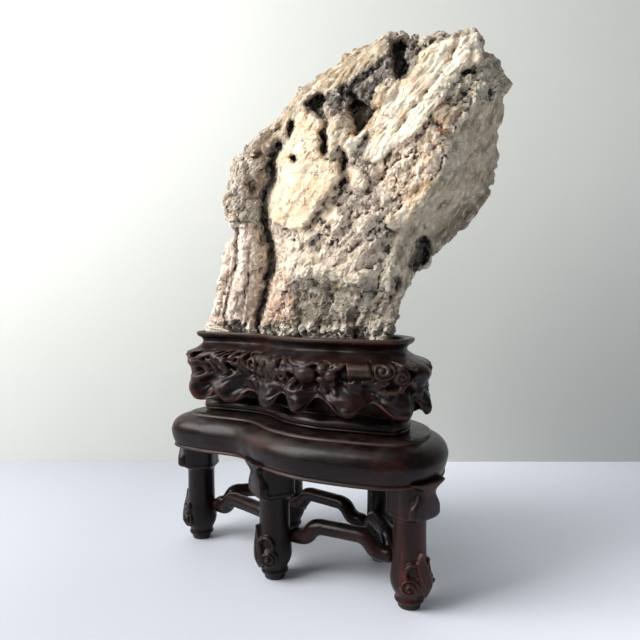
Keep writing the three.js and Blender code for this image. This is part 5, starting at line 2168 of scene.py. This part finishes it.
    def held(self, placed: Array, inset: float, slope: float) -> Array:
        """Holds the foot inside the drawn-in outline of the plan.

        Args:
            placed: (n, 3) workshop millimetres.
            inset: distance that the outline is drawn in.
            slope: how much wider the outline gets for each millimetre above the rim.
        Returns:
            The points, those outside the outline moved towards the plan's centre.
        """
        away = placed[:, :2] - np.array(self.plan.centre)
        heading = np.arctan2(away[:, 1], away[:, 0])
        limit = self.plan.reach(heading, inset, SOCKET_SHIFT)
        limit += np.maximum(placed[:, 2] - self.workshop.rim_top + self.hold_start, 0) * slope
        scale = np.minimum(1.0, limit / np.maximum(np.hypot(*away.T), 1e-6))
        return np.column_stack([np.array(self.plan.centre) + away * scale[:, None], placed[:, 2]])

    def seated(self, skin: Skin) -> Skin:
        """Keeps the foot inside the socket and the back inside its limit.

        Args:
            skin: the stone in its own frame.
        Returns:
            The stone in workshop millimetres, its back pressed together smoothly and its foot cut flat.
        """
        placed = self.to_workshop(skin.points)
        start = self.back_limit - self.back_soft
        behind = np.maximum(placed[:, 1] - start, 0.0)
        pressed = self.back_soft * np.tanh(behind / self.back_soft)
        placed[:, 1] = np.minimum(placed[:, 1], start) + pressed
        placed = self.held(placed, *self.last_hold)
        placed[:, 2] = np.maximum(placed[:, 2], self.workshop.seat)
        return Skin(placed, skin.quads, skin.triangles)

    def carve(self) -> tuple[Skin, dict[str, Array]]:
        """Body, shards and knobs melted together, carved from the front, and given their fine relief.

        Returns:
            The skin in workshop millimetres and the attributes at its points.
        """
        parts = [self.body(), self.upright(self.pillar, 15.0), self.upright(self.flake, 7.0)]
        parts += [self.knob(*knob) for knob in self.knobs]
        skin = Skin.joined(parts).fused(self.first_cell)
        skin.points = self.to_stone(self.held(self.to_workshop(skin.points), *self.blank_hold))
        LOG.info("stone body: %d points", len(skin.points))
        normal = skin.normals()
        place, toward = self.sheet(skin.points)
        front = smoothstep(-0.1, 0.2, np.einsum("ij,ij->i", skin.smoothed(normal, 4), toward))
        quartz = self.quartz_share(place)[0] * front
        rough = self.zoned(place, quartz, front)[1]
        quiet = smoothstep(1.0, 9.0, skin.points[:, 2])
        broad = self.rough_relief(skin.points, rough, place) * quiet
        skin.points = skin.points + normal * broad[:, None]
        normal = skin.smoothed(skin.normals(), 4)
        place, toward = self.sheet(skin.points)
        facing = np.einsum("ij,ij->i", normal, toward)
        drawn = self.drawn_relief(self.warped(skin.points, place)) * smoothstep(-0.05, 0.30, facing)
        back = self.back_relief(skin.points, facing) * smoothstep(3, 12, skin.points[:, 2])
        skin.points = skin.points + toward * drawn[:, None] + normal * back[:, None]
        skin.points[:, 2] = np.maximum(skin.points[:, 2], 0.0)
        skin = skin.fused(self.last_cell)
        LOG.info("carved stone: %d points", len(skin.points))

        normal = skin.smoothed(skin.normals(), 2)
        place, toward = self.sheet(skin.points)
        facing = np.einsum("ij,ij->i", skin.smoothed(normal, 4), toward)
        place = self.warped(skin.points, place)
        front = smoothstep(-0.1, 0.2, facing)
        caves = self.caves(place) * front
        quartz, pale = self.quartz_share(place)
        quartz = quartz * front * (1 - caves)
        seams = smoothstep(0.1, 0.3, self.back_plates(skin.points))
        quartz = np.maximum(quartz, seams * 0.85 * (1 - front))
        colour, rough = self.zoned(place, quartz, front)
        rough = np.maximum(rough, 0.9 * caves)
        fine = self.fine_relief(skin.points, place, rough, facing)
        cracks = self.crevices(skin.points, rough)
        quiet = smoothstep(0.0, 5.0, skin.points[:, 2]) * 0.85 + 0.15
        tint = self.tint(skin.points, colour, quartz, pale, rough)
        # painted shade and dark minerals: holes and deep clefts darkened toward near black
        tint = mix(tint, rgb(self.dark_mineral_and_shade), (0.85 * caves)[:, None])
        skin.points = skin.points + normal * (fine * quiet)[:, None]
        broad = skin.smoothed(skin.hollowness(30), 1)
        close = skin.hollowness(2)
        values = {
            "tint": tint,
            "quartz": quartz,
            "rough": np.clip(rough, 0, 1),
            # depth of hollows and cracks, which the rock's finish paints with shade
            "hollow": np.maximum(broad * 0.6 + close * 1.2, 0.0) + 0.9 * cracks,
            # height of crests, which the rock's finish paints with a glint
            "crest": np.maximum(-1.5 * close, 0.0),
        }
        return self.seated(skin), values

    def build(self, maker: Maker, material: bpy.types.Material) -> None:
        """Makes the piece."""
        skin, values = self.carve()
        maker.piece("quartz_veined_stone", skin, material, "scholars_stone", values,
                    smooth=False)


# ------------------------------------------------------------------ floor, wall, light and camera


@dataclass
class Studio:
    """Pale floor and wall with painted light falloff, a big soft window on the left, and the camera."""

    workshop: Workshop
    camera_place: tuple[float, float, float] = (377.0, -350.1, 209.1)
    azimuth: float = math.radians(35.626)
    pitch: float = math.radians(2.386)
    lens: float = 33.75
    wall_distance: float = 745.0          # from the camera, along its heading
    wall_reach: float = 2200.0            # half its width
    wall_height: float = 2600.0
    floor_reach: float = 4000.0           # half its side
    subject: tuple[float, float, float] = (100.0, 20.0, 190.0)      # what the lamps look at

    def headings(self) -> tuple[Array, Array]:
        """Level directions to the camera's right and back toward it."""
        cosine, sine = math.cos(self.azimuth), math.sin(self.azimuth)
        return np.array([cosine, sine, 0.0]), np.array([sine, -cosine, 0.0])

    def camera(self) -> None:
        """Level camera a little above the table, turned to the table's right front."""
        data = bpy.data.cameras.new("camera")
        data.lens = self.lens
        data.sensor_width = 36.0
        data.clip_start, data.clip_end = 0.01, 20.0
        eye = bpy.data.objects.new("camera", data)
        eye.location = self.workshop.place(np.array(self.camera_place))
        eye.rotation_euler = (math.pi / 2 - self.pitch, 0.0, self.azimuth)
        bpy.context.scene.collection.objects.link(eye)
        bpy.context.scene.camera = eye

    def sheet(self, name: str, corners: Array, material: bpy.types.Material) -> None:
        """A flat sheet of the stage.

        Args:
            name: name of the sheet.
            corners: four corners in workshop millimetres, anticlockwise from its front.
            material: its finish.
        """
        mesh = bpy.data.meshes.new(name)
        mesh.from_pydata(self.workshop.place(corners).tolist(), [], [(0, 1, 2, 3)])
        mesh.materials.append(material)
        thing = bpy.data.objects.new(name, mesh)
        bpy.context.scene.collection.objects.link(thing)

    @staticmethod
    def paint(name: str, colour: Colour, rough: float, one_sided: bool,
              painted_falloff: tuple[float, float]) -> bpy.types.Material:
        """Plain matt paint, faintly uneven; a one-sided sheet is clear from behind.

        Args:
            name: name of the material.
            colour: its colour.
            rough: its roughness.
            one_sided: whether it is clear from behind.
            painted_falloff: painted brightness on the left and on the right.
        Returns:
            The material.
        """
        material, write = started(name)
        place = write.add("TexCoord").outputs["Object"]
        right = write.add("VectorMath", {0: place, 1: (0.813, 0.582, 0.0)}, operation="DOT_PRODUCT")
        level = write.ramp(right.outputs["Value"], -0.22, 0.30, *painted_falloff)
        height = write.add("SeparateXYZ", {0: place}).outputs[2]
        # painted light: brighter upward
        level = write.math("MULTIPLY", level, write.ramp(height, 0.08, 0.5, 1.0, 1.22))
        cloud = write.noise(place, 3.0, 3.0)
        tone = write.blend(write.ramp(cloud, 0.3, 0.7, 0.0, 0.35), colour,
                           tuple(0.94 * channel for channel in colour[:3]) + (1.0,))
        tone = write.blend(1.0, tone, write.grey(level), "MULTIPLY")
        shader = write.add("BsdfPrincipled", {"Base Color": tone, "Roughness": rough,
                                              "Specular IOR Level": 0.25}).outputs[0]
        if one_sided:
            behind = write.add("NewGeometry").outputs["Backfacing"]
            clear = write.add("BsdfTransparent").outputs[0]
            shader = write.add("MixShader", {0: behind, 1: shader, 2: clear}).outputs[0]
        write.add("OutputMaterial", {"Surface": shader})
        return material

    def lamp(self, name: str, offset: tuple[float, float, float], size: tuple[float, float],
             power: float, colour: tuple[float, float, float]) -> None:
        """Area lamp that looks at the subject.

        Args:
            name: name of the lamp.
            offset: place seen from the camera: right, toward the camera and up, in millimetres.
            size: width and height in metres.
            power: watts.
            colour: light colour.
        """
        right, toward = self.headings()
        subject = np.array(self.subject)
        spot = subject + offset[0] * right + offset[1] * toward + np.array([0, 0, offset[2]])
        data = bpy.data.lights.new(name, "AREA")
        data.shape = "RECTANGLE"
        data.size, data.size_y = size
        data.energy = power
        data.color = colour
        thing = bpy.data.objects.new(name, data)
        thing.location = self.workshop.place(spot)
        aim = Vector(self.workshop.place(subject)) - thing.location
        thing.rotation_euler = aim.to_track_quat("-Z", "Y").to_euler()
        bpy.context.scene.collection.objects.link(thing)

    def build(self) -> None:
        """Makes the stage, the lights and the camera."""
        self.camera()
        # painted light falloff: floor brighter to the right, wall a little brighter to the right and upward
        floor = self.paint("pale_floor", linear(190, 194, 204), 0.55, False, (0.95, 2.0))
        wall = self.paint("pale_wall", linear(209, 211, 207), 0.9, True, (1.0, 1.05))
        square = np.array([(-1, -1, 0), (1, -1, 0), (1, 1, 0), (-1, 1, 0)], float)
        self.sheet("floor", square * self.floor_reach, floor)
        right, toward = self.headings()
        foot = np.array([*self.camera_place[:2], 0.0]) - toward * self.wall_distance
        side = right * self.wall_reach
        up = np.array([0, 0, self.wall_height])
        self.sheet("wall", np.stack([foot - side, foot + side, foot + side + up, foot - side + up]), wall)
        self.lamp("window", (-820, 280, 540), (0.7, 0.8), 17.5, (1.0, 0.98, 0.95))
        self.lamp("sky_fill", (-350, 200, 1000), (1.0, 0.9), 2.5, (0.93, 0.96, 1.0))
        world = bpy.data.worlds.new("room")
        world.use_nodes = True
        background = world.node_tree.nodes["Background"]
        background.inputs["Color"].default_value = (0.92, 0.93, 0.93, 1.0)
        background.inputs["Strength"].default_value = 0.17
        bpy.context.scene.world = world
        bpy.context.scene.view_settings.view_transform = "Standard"


def main() -> None:
    """Builds the finishes, the stage, the stand from the floor up, and the stone."""
    logging.basicConfig(level=logging.INFO, format="%(name)s: %(message)s")
    workshop = Workshop()
    Studio(workshop).build()
    effects = Effects()
    dark = Rosewood("dark_rosewood", linear(15, 8, 8), linear(62, 27, 23), linear(112, 80, 66),
                    (0.12, 1.0, 1.0)).material(effects)
    upright = Rosewood("upright_rosewood", linear(15, 9, 9), linear(48, 23, 19), linear(112, 80, 66),
                       (1.0, 1.0, 0.1)).material(effects)
    red = Rosewood("red_rosewood", linear(26, 12, 11), linear(84, 38, 31), linear(130, 84, 66),
                   (1.0, 1.0, 0.1), 0.8).material(effects)
    rubber = PadRubber().material(effects)
    rock = WeatheredRock().material(effects)

    maker = Maker(workshop)
    plan = KidneyPlan()
    FootPads(workshop).build(maker, rubber)
    Leg(workshop).build(maker, upright, red)
    Stretchers(workshop).build(maker, dark)
    TableTop(plan, workshop).build(maker, dark)
    Plinth(plan, workshop).build(maker, dark)
    Cradle(plan, workshop).build(maker, dark)
    Stone(workshop, plan).build(maker, rock)


if __name__ == "__main__":
    main()
